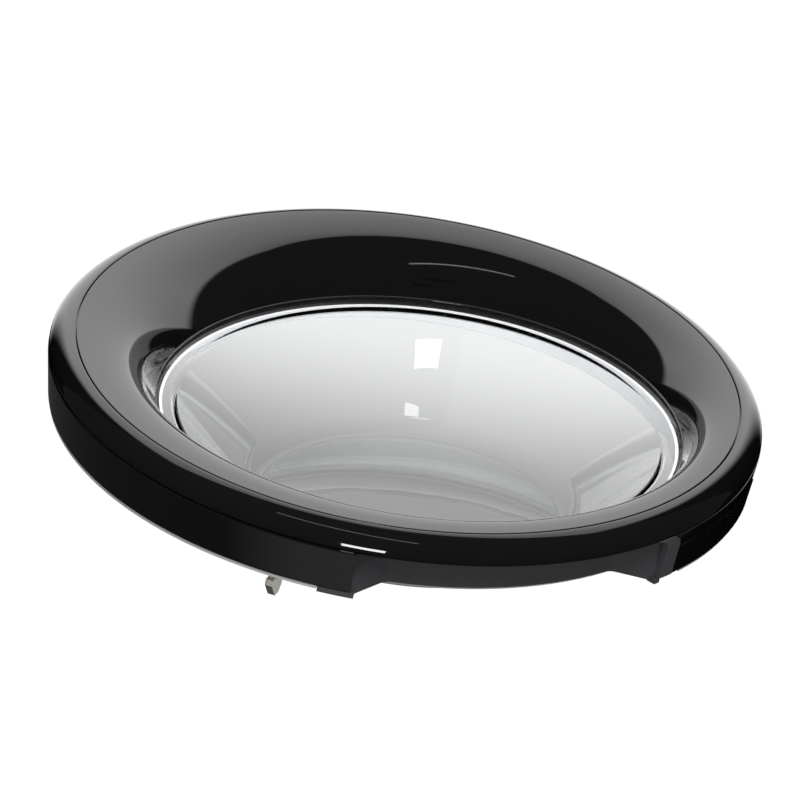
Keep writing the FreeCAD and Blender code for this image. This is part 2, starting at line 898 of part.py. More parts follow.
def make_grip_toes(skin, tip_z, first, last):
    """The toes of the finger recess, which run on a little under the skirt past the window."""
    toes = []
    overlap = S.grip_toe_span / 4
    spans = (
        ("left", first - S.grip_toe_span, S.grip_toe_span + overlap),
        ("right", last - overlap, overlap),
    )
    for side, start, sweep in spans:
        height = FOOT_Z - S.grip_gap / 2 - tip_z
        outside = rod(
            "toe_outside_" + side, skin, height, z=tip_z, axis=Z_AXIS, angle=start, sweep=sweep
        )
        inside = rod("toe_inside_" + side, skin - S.grip_toe_width, height, z=tip_z)
        toes.append(cut("toe_" + side, outside, inside))
    return toes


# The back of the door


def make_inner_frame():
    """The back frame: a flat ring with a spigot, the rib that clamps the glass and its openings."""
    spigot = FOOT_RADIUS - S.frame_wall - S.spigot_gap
    bore = BACK_BORE_RADIUS
    plate = turned(
        "back_plate",
        [
            (bore - S.opening_rise - CUT_MARGIN, FOOT_Z),
            (bore - S.opening_rise - CUT_MARGIN, BACK_Z),
            (BEAD_RADIUS - S.bead_width, BACK_Z),
            (BEAD_RADIUS - S.bead_width / 2, BACK_Z - S.bead_height),
            (BEAD_RADIUS + S.bead_width / 2, BACK_Z - S.bead_height),
            (BEAD_RADIUS + S.bead_width, BACK_Z),
            (FOOT_RADIUS - S.back_rim_step, BACK_Z),
            (FOOT_RADIUS - S.back_rim_step, FOOT_Z),
            (spigot, FOOT_Z),
            (spigot, FOOT_Z + S.spigot_height),
            (spigot - S.spigot_wall, FOOT_Z + S.spigot_height),
            (spigot - S.spigot_wall, FOOT_Z),
        ],
    )
    rib_length = LIP_DEPTH
    rib = rod("clamp_rib_full", bore + S.clamp_rib_width, rib_length)
    raise_on_glass_axis(rib, GASKET_BACK - rib_length)
    keep = rod("clamp_rib_room", RIM_RADIUS, S.crest_height, z=BACK_Z)
    clamp_rib = common("clamp_rib", rib, keep)
    back_bore = rod("back_bore", bore, rib_length * 3)
    raise_on_glass_axis(back_bore, -rib_length * 2)
    body = fuse("back_frame", plate, clamp_rib)
    opened = cut("back_frame_open", body, back_bore, make_grip_clearance(), make_hinge_opening())
    pocketed = fuse("back_frame_pocketed", opened, make_hinge_pocket())
    return cut("inner_frame", pocketed, *make_back_holes())


def make_grip_clearance():
    """The room that the finger recess takes from the back frame's rim."""
    turn_of_gap = (S.grip_wall + S.grip_gap * 2) / GRIP_BACK_RADIUS * (180 / math.pi)
    margin = S.grip_toe_span + turn_of_gap
    wide = RIM_RADIUS + CUT_MARGIN
    sector = rod(
        "grip_clearance_sector",
        wide,
        S.crest_height,
        z=-CUT_MARGIN,
        axis=Z_AXIS,
        angle=S.grip_start - margin,
        sweep=S.grip_end - S.grip_start + margin * 2,
    )
    core = rod("grip_clearance_core", GRIP_PLATE_RADIUS, S.crest_height, z=-CUT_MARGIN)
    return cut("grip_clearance", sector, core)


def make_hinge_opening():
    """The opening in the back frame over the hinge."""
    half = S.pocket_half_length
    reach = RIM_RADIUS + CUT_MARGIN
    return block(
        "hinge_opening", (-reach, -POCKET_INNER), (-half, half), (-CUT_MARGIN, S.crest_height)
    )


def make_hinge_pocket():
    """The sunk pocket that carries the hinge arm: a floor, an inner wall and two side walls."""
    half = S.pocket_half_length
    wall = S.pocket_wall
    top = POCKET_FLOOR_Z + wall
    outside = (-POCKET_FLOOR_OUTER, -POCKET_INNER + wall)
    solid = block("pocket_solid", outside, (-half - wall, half + wall), (BACK_Z, top))
    room = block(
        "pocket_room",
        (-POCKET_FLOOR_OUTER - CUT_MARGIN, -POCKET_INNER),
        (-half, half),
        (BACK_Z - CUT_MARGIN, POCKET_FLOOR_Z),
    )
    return cut("hinge_pocket", solid, room)


def make_back_holes():
    """The countersunk holes for the screws, the hook's slot and the buffers' holes."""
    screw = (S.screw_diameter, S.back_wall + CUT_MARGIN, S.screw_head_diameter, S.screw_head_height)
    holes = []
    places = frame_screw_places() + grip_screw_places() + hook_screw_places()
    for number, (x, y) in enumerate(places):
        holes.append(sunk_hole("back_hole_%d" % number, *screw, x, y, BACK_Z))
    for number, (x, y) in enumerate(arm_screw_places()):
        bore = S.arm_screw_diameter / 2 + S.screw_gap
        depth = S.pocket_wall + CUT_MARGIN
        holes.append(rod("pocket_hole_%d" % number, bore, depth, x, y, POCKET_FLOOR_Z))
    for number, (x, y) in enumerate(buffer_places()):
        bore = S.buffer_stem_diameter / 2 + S.screw_gap
        holes.append(rod("buffer_hole_%d" % number, bore, S.back_wall * 2, x, y, BACK_Z))
    slot = block(
        "hook_slot",
        (HOOK_OFFSET - S.hook_slot_inner, HOOK_OFFSET + S.hook_slot_outer),
        (-S.hook_slot_half, S.hook_slot_half),
        (BACK_Z - CUT_MARGIN, FOOT_Z + CUT_MARGIN),
    )
    return holes + [slot]


def make_sunk_screws(label, places, length):
    screws = []
    for number, (x, y) in enumerate(places):
        screws.append(
            sunk_screw(
                "%s_%d" % (label, number),
                S.screw_diameter,
                length,
                S.screw_head_diameter,
                S.screw_head_height,
                x,
                y,
                BACK_Z,
            )
        )
    return group(label, *screws)


def buffer_places():
    return [polar(BUFFER_RADIUS, angle) for angle in BUFFER_ANGLES]


def make_rubber_buffers():
    """Rubber feet, pressed into the back frame, that meet the machine's front panel."""
    buffers = []
    for number, (x, y) in enumerate(buffer_places()):
        pad = rod("buffer_pad_%d" % number, S.buffer_diameter / 2, BACK_Z, x, y, 0)
        stem = rod(
            "buffer_stem_%d" % number, S.buffer_stem_diameter / 2, S.buffer_stem_length, x, y, 0
        )
        buffers.append(fuse("buffer_%d" % number, pad, stem))
    return group("rubber_buffers", *buffers)


# The hinge


def hinge_eye(label, radius, y_low, y_high):
    return cross_rod(label, radius, -HINGE_OFFSET, y_low, y_high, S.hinge_height)


def make_hinge_base():
    """The bracket on the machine: a plate with four holes and two ears that hold the pin."""
    half = S.base_half_length
    plate = padded(
        "base_plate",
        "XY_Plane",
        [
            (-BASE_OUTER, -half),
            (-BASE_INNER, -half),
            (-BASE_INNER, half),
            (-BASE_OUTER, half),
        ],
        S.base_thickness,
    )
    corners = [
        upright_at((x, y)) for x in (-BASE_OUTER, -BASE_INNER) for y in (-half, half)
    ]
    round_edges(plate, "base_plate_corners", S.base_corner, either(*corners))
    ears = []
    for side, low, high in (("lower", -EAR_OUTER, -EAR_INNER), ("upper", EAR_INNER, EAR_OUTER)):
        ears.append(hinge_eye("base_eye_" + side, S.ear_diameter / 2, low, high))
        ears.append(make_base_web(side, low))
    bracket = fuse("base_bracket", plate, *ears)
    bore = hinge_eye("base_bore", S.pin_diameter / 2, -EAR_OUTER - CUT_MARGIN, EAR_OUTER + CUT_MARGIN)
    holes = []
    middle = -(BASE_OUTER + BASE_INNER) / 2
    for number, (across, along) in enumerate(((-1, -1), (-1, 1), (1, -1), (1, 1))):
        x = middle + S.base_hole_pitch_across / 2 * across
        y = S.base_hole_pitch_along / 2 * along
        radius = S.base_hole_diameter / 2
        holes.append(rod("base_hole_%d" % number, radius, S.base_thickness, x, y, 0))
    return cut("hinge_base", bracket, bore, *holes)


def make_base_web(side, y_low):
    """The web from the plate to one ear, wide at its foot and as wide as the eye at the pin."""
    eye = S.ear_diameter / 2
    web = padded(
        "base_web_" + side,
        "XZ_Plane",
        [
            (-BASE_OUTER, 0),
            (-BASE_OUTER + S.ear_diameter + S.base_corner, 0),
            (-HINGE_OFFSET + eye, S.hinge_height),
            (-HINGE_OFFSET - eye, S.hinge_height),
            (-BASE_OUTER, S.base_thickness),
        ],
        S.ear_thickness,
        -y_low - S.ear_thickness,
    )
    return web


def make_hinge_pin():
    """The steel pin with a flat head, and a groove near its lower end for the clip."""
    top = EAR_OUTER + S.pin_head_height
    low = -EAR_OUTER - S.pin_tail
    shank = hinge_eye("pin_shank", S.pin_diameter / 2, low, top)
    head = hinge_eye("pin_head", S.pin_head_diameter / 2, EAR_OUTER, top)
    groove_low = -EAR_OUTER - S.ear_gap - S.clip_thickness
    groove_high = -EAR_OUTER - S.ear_gap
    ring = hinge_eye("pin_groove_outside", S.pin_diameter, groove_low, groove_high)
    core_radius = S.pin_diameter / 2 - S.clip_groove_depth
    core = hinge_eye("pin_groove_core", core_radius, groove_low, groove_high)
    return cut("hinge_pin", fuse("pin_blank", shank, head), cut("pin_groove", ring, core))


def make_pin_clip():
    """The spring clip in the pin's groove."""
    low = -EAR_OUTER - S.ear_gap - S.clip_thickness
    high = -EAR_OUTER - S.ear_gap
    disc = hinge_eye("clip_disc", S.clip_diameter / 2, low, high)
    bore_radius = S.pin_diameter / 2 - S.clip_groove_depth
    bore = hinge_eye("clip_bore", bore_radius, low, high)
    mouth = block(
        "clip_mouth",
        (-HINGE_OFFSET, -HINGE_OFFSET + S.clip_diameter),
        (low, high),
        (S.hinge_height - S.clip_mouth / 2, S.hinge_height + S.clip_mouth / 2),
    )
    return cut("pin_clip", disc, bore, mouth)


def make_hinge_arm():
    """The door's half of the hinge: a plate with two knuckles on gooseneck webs."""
    half = S.arm_half_length
    plate = padded(
        "arm_plate",
        "XY_Plane",
        [(-ARM_OUTER, -half), (-ARM_INNER, -half), (-ARM_INNER, half), (-ARM_OUTER, half)],
        S.arm_thickness,
        S.arm_height,
    )
    corners = [upright_at((x, y)) for x in (-ARM_OUTER, -ARM_INNER) for y in (-half, half)]
    round_edges(plate, "arm_plate_corners", S.arm_corner, either(*corners))
    knuckles = []
    bores = []
    width = S.knuckle_outer - S.knuckle_inner
    bush = S.pin_diameter / 2 + S.running_gap + S.bush_wall
    for side, low in (("lower", -S.knuckle_outer), ("upper", S.knuckle_inner)):
        knuckles.append(hinge_eye("knuckle_" + side, S.knuckle_diameter / 2, low, low + width))
        bores.append(hinge_eye("knuckle_bore_" + side, bush, low, low + width))
        knuckles.append(
            padded(
                "gooseneck_" + side,
                "XZ_Plane",
                [
                    (-ARM_OUTER + S.arm_corner, S.arm_height),
                    (-ARM_OUTER + S.arm_corner, POCKET_FLOOR_Z),
                    (-ARM_OUTER - S.pocket_wall, POCKET_FLOOR_Z),
                    (-HINGE_OFFSET, S.hinge_height + S.knuckle_diameter / 2),
                    (-HINGE_OFFSET, S.hinge_height - S.knuckle_diameter / 2),
                    (-ARM_OUTER - S.pocket_wall, S.arm_height),
                ],
                width,
                -low - width,
            )
        )
    holes = []
    for number, (x, y) in enumerate(arm_screw_places()):
        holes.append(
            sunk_hole(
                "arm_hole_%d" % number,
                S.arm_screw_diameter,
                S.arm_thickness,
                S.arm_screw_head_diameter,
                S.arm_screw_head_height,
                x,
                y,
                S.arm_height,
            )
        )
    return cut("hinge_arm", fuse("arm_casting", plate, *knuckles), *bores, *holes)


def make_hinge_bush(label, side):
    """A flanged plastic bush, pressed into a knuckle from its outer side (+1 upper, -1 lower)."""
    inner = S.pin_diameter / 2 + S.running_gap
    outer = inner + S.bush_wall
    flange_end = S.knuckle_outer + S.bush_flange

    def span(start, end):
        return (start, end) if side > 0 else (-end, -start)

    sleeve = hinge_eye(label + "_sleeve", outer, *span(S.knuckle_inner, S.knuckle_outer))
    flange_radius = S.bush_flange_diameter / 2
    flange = hinge_eye(label + "_flange", flange_radius, *span(S.knuckle_outer, flange_end))
    bore = hinge_eye(label + "_bore", inner, *span(S.knuckle_inner, flange_end))
    return cut(label, fuse(label + "_blank", sleeve, flange), bore)


def make_hinge_plate():
    """The steel backing plate that the arm's screws thread into."""
    half = S.arm_half_length
    low = POCKET_FLOOR_Z + S.pocket_wall
    plate = block(
        "backing_blank", (-ARM_OUTER, -ARM_INNER), (-half, half), (low, low + S.backing_thickness)
    )
    bore = S.arm_screw_diameter / 2 + S.screw_gap
    holes = [
        rod("backing_hole_%d" % number, bore, S.backing_thickness, x, y, low)
        for number, (x, y) in enumerate(arm_screw_places())
    ]
    return cut("hinge_plate", plate, *holes)


def make_hinge_arm_screws():
    screws = [
        sunk_screw(
            "arm_screw_%d" % number,
            S.arm_screw_diameter,
            S.arm_screw_length,
            S.arm_screw_head_diameter,
            S.arm_screw_head_height,
            x,
            y,
            S.arm_height,
        )
        for number, (x, y) in enumerate(arm_screw_places())
    ]
    return group("hinge_arm_screws", *screws)


# The latch


def make_latch_hook():
    """The hook: an eye on its pin, a straight stem through the back frame and an outward nose."""
    inner = HOOK_OFFSET - S.hook_stem_inner
    outer = HOOK_OFFSET + S.hook_stem_outer
    nose = HOOK_OFFSET + S.hook_nose
    tip = -S.hook_reach
    catch = -S.hook_catch
    stem = padded(
        "hook_stem",
        "XZ_Plane",
        [
            (inner, S.hook_height),
            (inner, tip + S.hook_nose_height),
            (inner + S.hook_stem_outer, tip),
            (outer, tip),
            (nose, catch - S.hook_nose_height),
            (nose, catch - S.hook_tip_round / 2),
            (outer, catch),
            (outer, S.hook_height),
        ],
        S.hook_thickness,
        -HOOK_HALF,
    )
    eye = cross_rod(
        "hook_eye", S.hook_eye_diameter / 2, HOOK_OFFSET, -HOOK_HALF, HOOK_HALF, S.hook_height
    )
    bore = cross_rod(
        "hook_bore",
        S.hook_pin_diameter / 2 + S.running_gap,
        HOOK_OFFSET,
        -HOOK_HALF,
        HOOK_HALF,
        S.hook_height,
    )
    return cut("latch_hook", fuse("hook_blank", stem, eye), bore)


def make_hook_holder():
    """The carrier of the hook: two cheeks for the pin, a bridge between them and two feet."""
    left = HOOK_OFFSET - S.cheek_half_width
    right = HOOK_OFFSET + S.cheek_half_width
    low = CHEEK_LOWER - S.cheek_thickness
    high = CHEEK_UPPER + S.cheek_thickness
    tall = (FOOT_Z, S.cheek_height)
    flat = (FOOT_Z, FOOT_Z + S.holder_foot_height)
    foot = S.holder_foot
    parts = [
        block("cheek_lower", (left, right), (low, CHEEK_LOWER), tall),
        block("cheek_upper", (left, right), (CHEEK_UPPER, high), tall),
        block("holder_bridge_wall", (right - S.holder_bridge, right), (low, high), tall),
        block("foot_lower", (left, right), (low - foot, low), flat),
        block("foot_upper", (left, right), (high, high + foot), flat),
    ]
    bore = cross_rod(
        "holder_pin_bore", S.hook_pin_diameter / 2, HOOK_OFFSET, low, high, S.hook_height
    )
    slot = block(
        "holder_nose_room",
        (HOOK_OFFSET - S.hook_slot_inner, HOOK_OFFSET + S.hook_slot_outer),
        (CHEEK_LOWER, -CHEEK_LOWER),
        (FOOT_Z - CUT_MARGIN, FOOT_Z + S.holder_foot_height),
    )
    holes = [
        rod(
            "holder_hole_%d" % number,
            S.screw_diameter / 2 + S.screw_gap,
            S.holder_foot_height,
            x,
            y,
            FOOT_Z,
        )
        for number, (x, y) in enumerate(hook_screw_places())
    ]
    return cut("hook_holder", fuse("holder_casting", *parts), bore, slot, *holes)


def make_hook_pin():
    low = CHEEK_LOWER - S.cheek_thickness
    high = CHEEK_UPPER + S.cheek_thickness
    return cross_rod("hook_pin", S.hook_pin_diameter / 2, HOOK_OFFSET, low, high, S.hook_height)


def make_hook_spring():
    """The torsion spring: close turns round the pin and two straight legs."""
    mean = (S.spring_diameter - S.spring_wire) / 2
    pitch = S.spring_wire * 1.15
    length = pitch * S.spring_turns
    start = HOOK_HALF + S.hook_side_gap + S.spring_wire / 2 + S.hook_side_gap / 4
    coil = doc.addObject("Part::Helix", "spring_path")
    bind(coil, "Pitch", pitch)
    bind(coil, "Height", length)
    bind(coil, "Radius", mean)
    place(coil, HOOK_OFFSET, start, S.hook_height, X_AXIS, -QUARTER_TURN)
    wire = doc.addObject("Part::Circle", "spring_section")
    bind(wire, "Radius", S.spring_wire / 2)
    place(wire, HOOK_OFFSET + mean, start, S.hook_height)
    doc.recompute()
    sweep = doc.addObject("Part::Sweep", "spring_coil")
    sweep.Sections = [wire]
    sweep.Spine = (coil, ["Edge%d" % n for n in range(1, len(coil.Shape.Edges) + 1)])
    sweep.Solid = True
    sweep.Frenet = True
    wire_radius = S.spring_wire / 2
    x = HOOK_OFFSET + mean
    first = rod("spring_leg_hook", wire_radius, S.spring_leg, x, start, S.hook_height)
    last = rod("spring_leg_holder", wire_radius, S.spring_leg, x, start + length, S.hook_height)
    bind(last, "Placement.Base.z", S.hook_height - S.spring_leg)
    return fuse("hook_spring", sweep, first, last)


def make_pieces():
    """Makes every piece in its place and stands it upright."""
    pieces = [
        make_outer_frame(),
        make_dish_ring(),
        make_inner_frame(),
        make_grip_insert(),
        make_sunk_screws("frame_screws", frame_screw_places(), S.screw_length),
        make_sunk_screws("grip_screws", grip_screw_places(), S.short_screw_length),
        make_sunk_screws("hook_screws", hook_screw_places(), S.short_screw_length),
        make_rubber_buffers(),
        make_hinge_base(),
        make_hinge_pin(),
        make_pin_clip(),
        make_hinge_arm(),
        make_hinge_bush("hinge_bush_upper", 1),
        make_hinge_bush("hinge_bush_lower", -1),
        make_hinge_plate(),
        make_hinge_arm_screws(),
        make_latch_hook(),
        make_hook_holder(),
        make_hook_spring(),
    ]
    for piece in pieces:
        stand_upright(piece)
    pin = make_hook_pin()
    pin_piece = group("hook_pin_upright", pin)
    stand_upright(pin_piece)
    glass = [stand_glass_upright(make_glass_bowl()), stand_glass_upright(make_glass_gasket())]
    return {piece.Label: piece for piece in pieces + glass} | {"hook_pin": pin_piece}


def check(pieces):
    """Stops if any object failed or any piece isn't a sound shape."""
    for item in doc.Objects:
        if "Invalid" in item.State or "Error" in item.State:
            raise RuntimeError("%s failed: %s" % (item.Label, item.State))
    for label, piece in pieces.items():
        shape = piece.Shape
        if shape.isNull() or not shape.isValid() or not shape.Solids:
            raise RuntimeError("%s has no sound shape" % label)


def export(pieces):
    os.makedirs("parts", exist_ok=True)
    for label, piece in pieces.items():
        piece.Shape.exportStep("parts/%s.step" % label)


door_pieces = make_pieces()
doc.recompute()
check(door_pieces)
export(door_pieces)
for piece_label, door_piece in sorted(door_pieces.items()):
    box = door_piece.Shape.optimalBoundingBox(True, False)
    print(
        "%-18s solids %2d  volume %9.1f  x %7.1f %7.1f  y %6.1f %6.1f  z %7.1f %7.1f"
        % (
            piece_label,
            len(door_piece.Shape.Solids),
            door_piece.Shape.Volume,
            box.XMin,
            box.XMax,
            box.YMin,
            box.YMax,
            box.ZMin,
            box.ZMax,
        )
    )
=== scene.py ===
"""A round washing machine door: its finishes, moulded meshes, studio and camera.

Sizes are in millimetres and degrees on the bench where the door lies face up: X to the right, Y to
the top of the door, Z towards the viewer and Z = 0 on the machine's front panel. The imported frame
stands the door upright, so that a bench point (x, y, z) is (x, -z, y) there, in metres. The
studio's sizes are in metres.
"""

import json
import logging
import math
from collections.abc import Callable, Iterable, Sequence
from dataclasses import dataclass
from enum import Enum
from typing import Any

import bmesh
import bpy
from mathutils import Matrix, Vector

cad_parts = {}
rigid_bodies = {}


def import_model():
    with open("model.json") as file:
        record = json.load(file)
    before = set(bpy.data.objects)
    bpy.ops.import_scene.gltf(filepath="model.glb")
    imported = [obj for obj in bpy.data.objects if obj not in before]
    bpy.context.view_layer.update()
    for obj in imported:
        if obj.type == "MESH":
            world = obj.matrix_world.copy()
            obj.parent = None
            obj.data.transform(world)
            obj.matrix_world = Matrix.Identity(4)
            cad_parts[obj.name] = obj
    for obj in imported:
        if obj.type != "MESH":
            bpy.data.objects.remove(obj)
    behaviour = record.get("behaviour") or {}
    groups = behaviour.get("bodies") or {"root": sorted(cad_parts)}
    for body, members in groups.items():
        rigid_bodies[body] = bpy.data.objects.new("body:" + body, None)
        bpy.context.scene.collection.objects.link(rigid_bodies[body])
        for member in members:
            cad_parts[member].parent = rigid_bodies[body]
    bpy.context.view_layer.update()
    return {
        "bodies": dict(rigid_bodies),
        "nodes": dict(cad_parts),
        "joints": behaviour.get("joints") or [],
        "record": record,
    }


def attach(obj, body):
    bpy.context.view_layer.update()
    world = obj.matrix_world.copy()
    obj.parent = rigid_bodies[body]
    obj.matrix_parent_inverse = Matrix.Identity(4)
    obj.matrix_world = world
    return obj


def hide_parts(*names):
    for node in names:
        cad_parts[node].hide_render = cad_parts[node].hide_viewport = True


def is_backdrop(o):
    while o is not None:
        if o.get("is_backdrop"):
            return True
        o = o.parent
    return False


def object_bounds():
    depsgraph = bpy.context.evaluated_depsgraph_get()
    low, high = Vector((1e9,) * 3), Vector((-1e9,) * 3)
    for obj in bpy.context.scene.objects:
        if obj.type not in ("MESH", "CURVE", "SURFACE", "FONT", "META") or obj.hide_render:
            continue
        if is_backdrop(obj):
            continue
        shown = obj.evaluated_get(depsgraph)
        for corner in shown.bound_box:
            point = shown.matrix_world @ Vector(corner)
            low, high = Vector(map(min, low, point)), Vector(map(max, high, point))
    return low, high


log = logging.getLogger("washing_machine_door")

MM = 0.001
QUARTER_TURN, HALF_TURN, FULL_TURN = 90.0, 180.0, 360.0
SHARP_ANGLE = 32.0
MERGE_DISTANCE = 1e-7
EDGE_SAMPLES = 4
SQUARE = ((-1, -1), (1, -1), (1, 1), (-1, 1))

Point = tuple[float, float]
Place = tuple[float, float, float]
Tree = bpy.types.NodeTree
Socket = bpy.types.NodeSocket


class Body(Enum):
    """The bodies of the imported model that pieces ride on."""

    DOOR = "door"


class Slot(Enum):
    """The record's material slots."""

    GLOSS_BLACK = "gloss_black_plastic"
    GLASS = "clear_glass"
    GREY = "grey_plastic"
    DARK_GREY = "dark_grey_plastic"
    RUBBER = "black_rubber"
    ZINC = "zinc_casting"
    STEEL = "steel"
    BUSH = "bush_plastic"
    BLACK = "black_plastic"


class Kind(Enum):
    """The shader nodes that the finishes and the studio are made of."""

    OUTPUT = "ShaderNodeOutputMaterial"
    WORLD_OUTPUT = "ShaderNodeOutputWorld"
    PRINCIPLED = "ShaderNodeBsdfPrincipled"
    EMISSION = "ShaderNodeEmission"
    BACKGROUND = "ShaderNodeBackground"
    COORDINATES = "ShaderNodeTexCoord"
    NOISE = "ShaderNodeTexNoise"
    VORONOI = "ShaderNodeTexVoronoi"
    RANGE = "ShaderNodeMapRange"
    MIX = "ShaderNodeMix"
    MATH = "ShaderNodeMath"
    VECTOR_MATH = "ShaderNodeVectorMath"
    BUMP = "ShaderNodeBump"
    BEVEL = "ShaderNodeBevel"
    LIGHT_PATH = "ShaderNodeLightPath"


# The colour mix node names its sockets alike for every type, so its colour ones go by number,
# and so does the crystals' shade.
MIX_FACTOR, MIX_FIRST, MIX_SECOND, MIX_RESULT = 0, 6, 7, 2
CRYSTAL_SHADE = 1
SMOOTH = {"interpolation_type": "SMOOTHSTEP"}


def linear(hex_colour: str) -> tuple[float, float, float, float]:
    """Turns an sRGB hex colour to linear red, green, blue and alpha.

    Args:
        hex_colour: The colour, such as "#8a8a8c".

    Returns:
        Linear values from 0 to 1.
    """
    shares = [int(hex_colour[start : start + 2], 16) / 255 for start in (1, 3, 5)]
    # The numbers are those of the sRGB standard's curve.
    return (*[v / 12.92 if v <= 0.04045 else ((v + 0.055) / 1.055) ** 2.4 for v in shares], 1.0)


WHITE = linear("#ffffff")


def per_metre(size_mm: float) -> float:
    """The scale of a pattern whose features are this many millimetres apart."""
    return 1 / (size_mm * MM)


def range_ends(first: float, last: float, low: float, high: float) -> dict[str, float]:
    """The limits of a range: it goes from low to high as its value goes from first to last."""
    return {"From Min": first, "From Max": last, "To Min": low, "To Max": high}


def add_node(
    tree: Tree, kind: Kind, inputs: dict[str | int, Any] | None = None, **settings: Any
) -> bpy.types.Node:
    """Adds a node with its settings, its constants and the links into it.

    Args:
        tree: The tree that gets the node.
        kind: What node it is.
        inputs: What goes into each socket: an output socket is linked, anything else is set.
        **settings: The node's own settings.

    Returns:
        The node.
    """
    node = tree.nodes.new(kind.value)
    for name, value in settings.items():
        setattr(node, name, value)
    for socket, value in (inputs or {}).items():
        if isinstance(value, bpy.types.NodeSocket):
            tree.links.new(value, node.inputs[socket])
        else:
            node.inputs[socket].default_value = value
    return node


def fresh_tree(owner: bpy.types.Material | bpy.types.World) -> Tree:
    """Gives a new material or world an empty tree of nodes.

    Args:
        owner: The material or world.

    Returns:
        Its tree.
    """
    owner.use_nodes = True
    owner.node_tree.nodes.clear()
    return owner.node_tree


# Finishes


@dataclass(frozen=True)
class Pattern:
    """A pattern over a surface: clouds, or crystals with a shade each."""

    size_mm: float
    detail: float = 0.0
    kind: Kind = Kind.NOISE
    output: int = 0


@dataclass(frozen=True)
class Finish:
    """How one real material looks.

    The shade pattern leads over to the second colour, the sheen pattern changes the roughness to
    both sides, the relief pattern raises the surface, and the shading rounds the edges.
    """

    title: str
    colour: str
    second_colour: str = ""
    roughness: float = 0.5
    sheen_change: float = 0.0
    sheen_ends: Point = (0.0, 1.0)
    shade: Pattern | None = None
    sheen: Pattern | None = None
    relief: Pattern | None = None
    relief_mm: float = 0.0
    edge_round_mm: float = 0.0
    metallic: float = 0.0
    transmission: float = 0.0
    ior: float | None = None

    def sockets(self, tree: Tree, point: Socket) -> dict[str, Any]:
        """What goes into the shader.

        Args:
            tree: The material's nodes.
            point: The place on the piece, in metres.

        Returns:
            A constant or an output socket for each of the shader's sockets.
        """
        made = {}
        for pattern in dict.fromkeys(filter(None, (self.shade, self.sheen, self.relief))):
            scale = per_metre(pattern.size_mm)
            inputs = {"Vector": point, "Scale": scale, "Detail": pattern.detail}
            made[pattern] = add_node(tree, pattern.kind, inputs).outputs[pattern.output]
        sockets = {"Metallic": self.metallic, "Transmission Weight": self.transmission}
        sockets |= {"Base Color": linear(self.colour), "Roughness": self.roughness}
        if self.ior:
            sockets["IOR"] = self.ior
        if self.shade:
            inputs = {MIX_FACTOR: made[self.shade], MIX_FIRST: linear(self.colour)}
            inputs[MIX_SECOND] = linear(self.second_colour)
            shade = add_node(tree, Kind.MIX, inputs, data_type="RGBA")
            sockets["Base Color"] = shade.outputs[MIX_RESULT]
        if self.sheen:
            low, high = self.roughness - self.sheen_change, self.roughness + self.sheen_change
            inputs = {"Value": made[self.sheen], **range_ends(*self.sheen_ends, low, high)}
            sockets["Roughness"] = add_node(tree, Kind.RANGE, inputs).outputs[0]
        normal = {}
        if self.edge_round_mm:
            inputs = {"Radius": self.edge_round_mm * MM}
            edges = add_node(tree, Kind.BEVEL, inputs, samples=EDGE_SAMPLES)
            normal = {"Normal": edges.outputs["Normal"]}
        if self.relief:
            inputs = {"Strength": 1.0, "Height": made[self.relief], **normal}
            inputs["Distance"] = self.relief_mm * MM
            normal = {"Normal": add_node(tree, Kind.BUMP, inputs).outputs["Normal"]}
        return sockets | normal

    def material(self) -> bpy.types.Material:
        """The material of this finish, made at its first use.

        Returns:
            The material.
        """
        made = bpy.data.materials.get(self.title)
        if made is None:
            made = bpy.data.materials.new(self.title)
            tree = fresh_tree(made)
            point = add_node(tree, Kind.COORDINATES).outputs["Object"]
            shader = add_node(tree, Kind.PRINCIPLED, self.sockets(tree, point))
            add_node(tree, Kind.OUTPUT, {"Surface": shader.outputs["BSDF"]})
        return made

    def dress(self, piece: bpy.types.Object) -> None:
        """Gives a piece this finish all over.

        Args:
            piece: The piece.
        """
        if not piece.material_slots:
            piece.data.materials.append(None)
        for slot in piece.material_slots:
            slot.material = self.material()


@dataclass(frozen=True)
class GlossMouldedAbs(Finish):
    """Black ABS from a mirror-polished mould."""

    # The polished mould leaves a deep black with sharp reflections. A slow ripple from uneven
    # cooling and patches of slightly softer gloss tell it from glass.
    title: str = "High-gloss moulded black ABS"
    colour: str = "#09090a"
    roughness: float = 0.05
    sheen_change: float = 0.02
    sheen_ends: Point = (0.3, 0.7)
    sheen: Pattern = Pattern(60.0, 2.0)
    relief: Pattern = Pattern(24.0, 1.0)
    relief_mm: float = 0.01
    ior: float = 1.54


@dataclass(frozen=True)
class PressedGlass(Finish):
    """Soda-lime glass, pressed in an iron mould and fire-polished."""

    # Fire-polishing melts the skin smooth, so it is clear and sharp. The press leaves long shallow
    # waves that bend what shows through, and iron in the sand gives a trace of green.
    title: str = "Pressed soda-lime glass"
    colour: str = "#fbfdfc"
    roughness: float = 0.012
    relief: Pattern = Pattern(38.0, 1.5)
    relief_mm: float = 0.06
    transmission: float = 1.0
    ior: float = 1.52


@dataclass(frozen=True)
class GrainedPlastic(Finish):
    """A satin plastic with the fine grain of its mould, or of the tool that turned it."""

    # A spark-eroded mould or a turning tool leaves a fine even grain that spreads reflections to
    # a satin sheen. The flow of the melt leaves slow changes of shade. Edges are slightly rounded.
    sheen_change: float = 0.06
    shade: Pattern = Pattern(45.0, 3.0)
    sheen: Pattern = Pattern(45.0, 3.0)
    edge_round_mm: float = 0.4


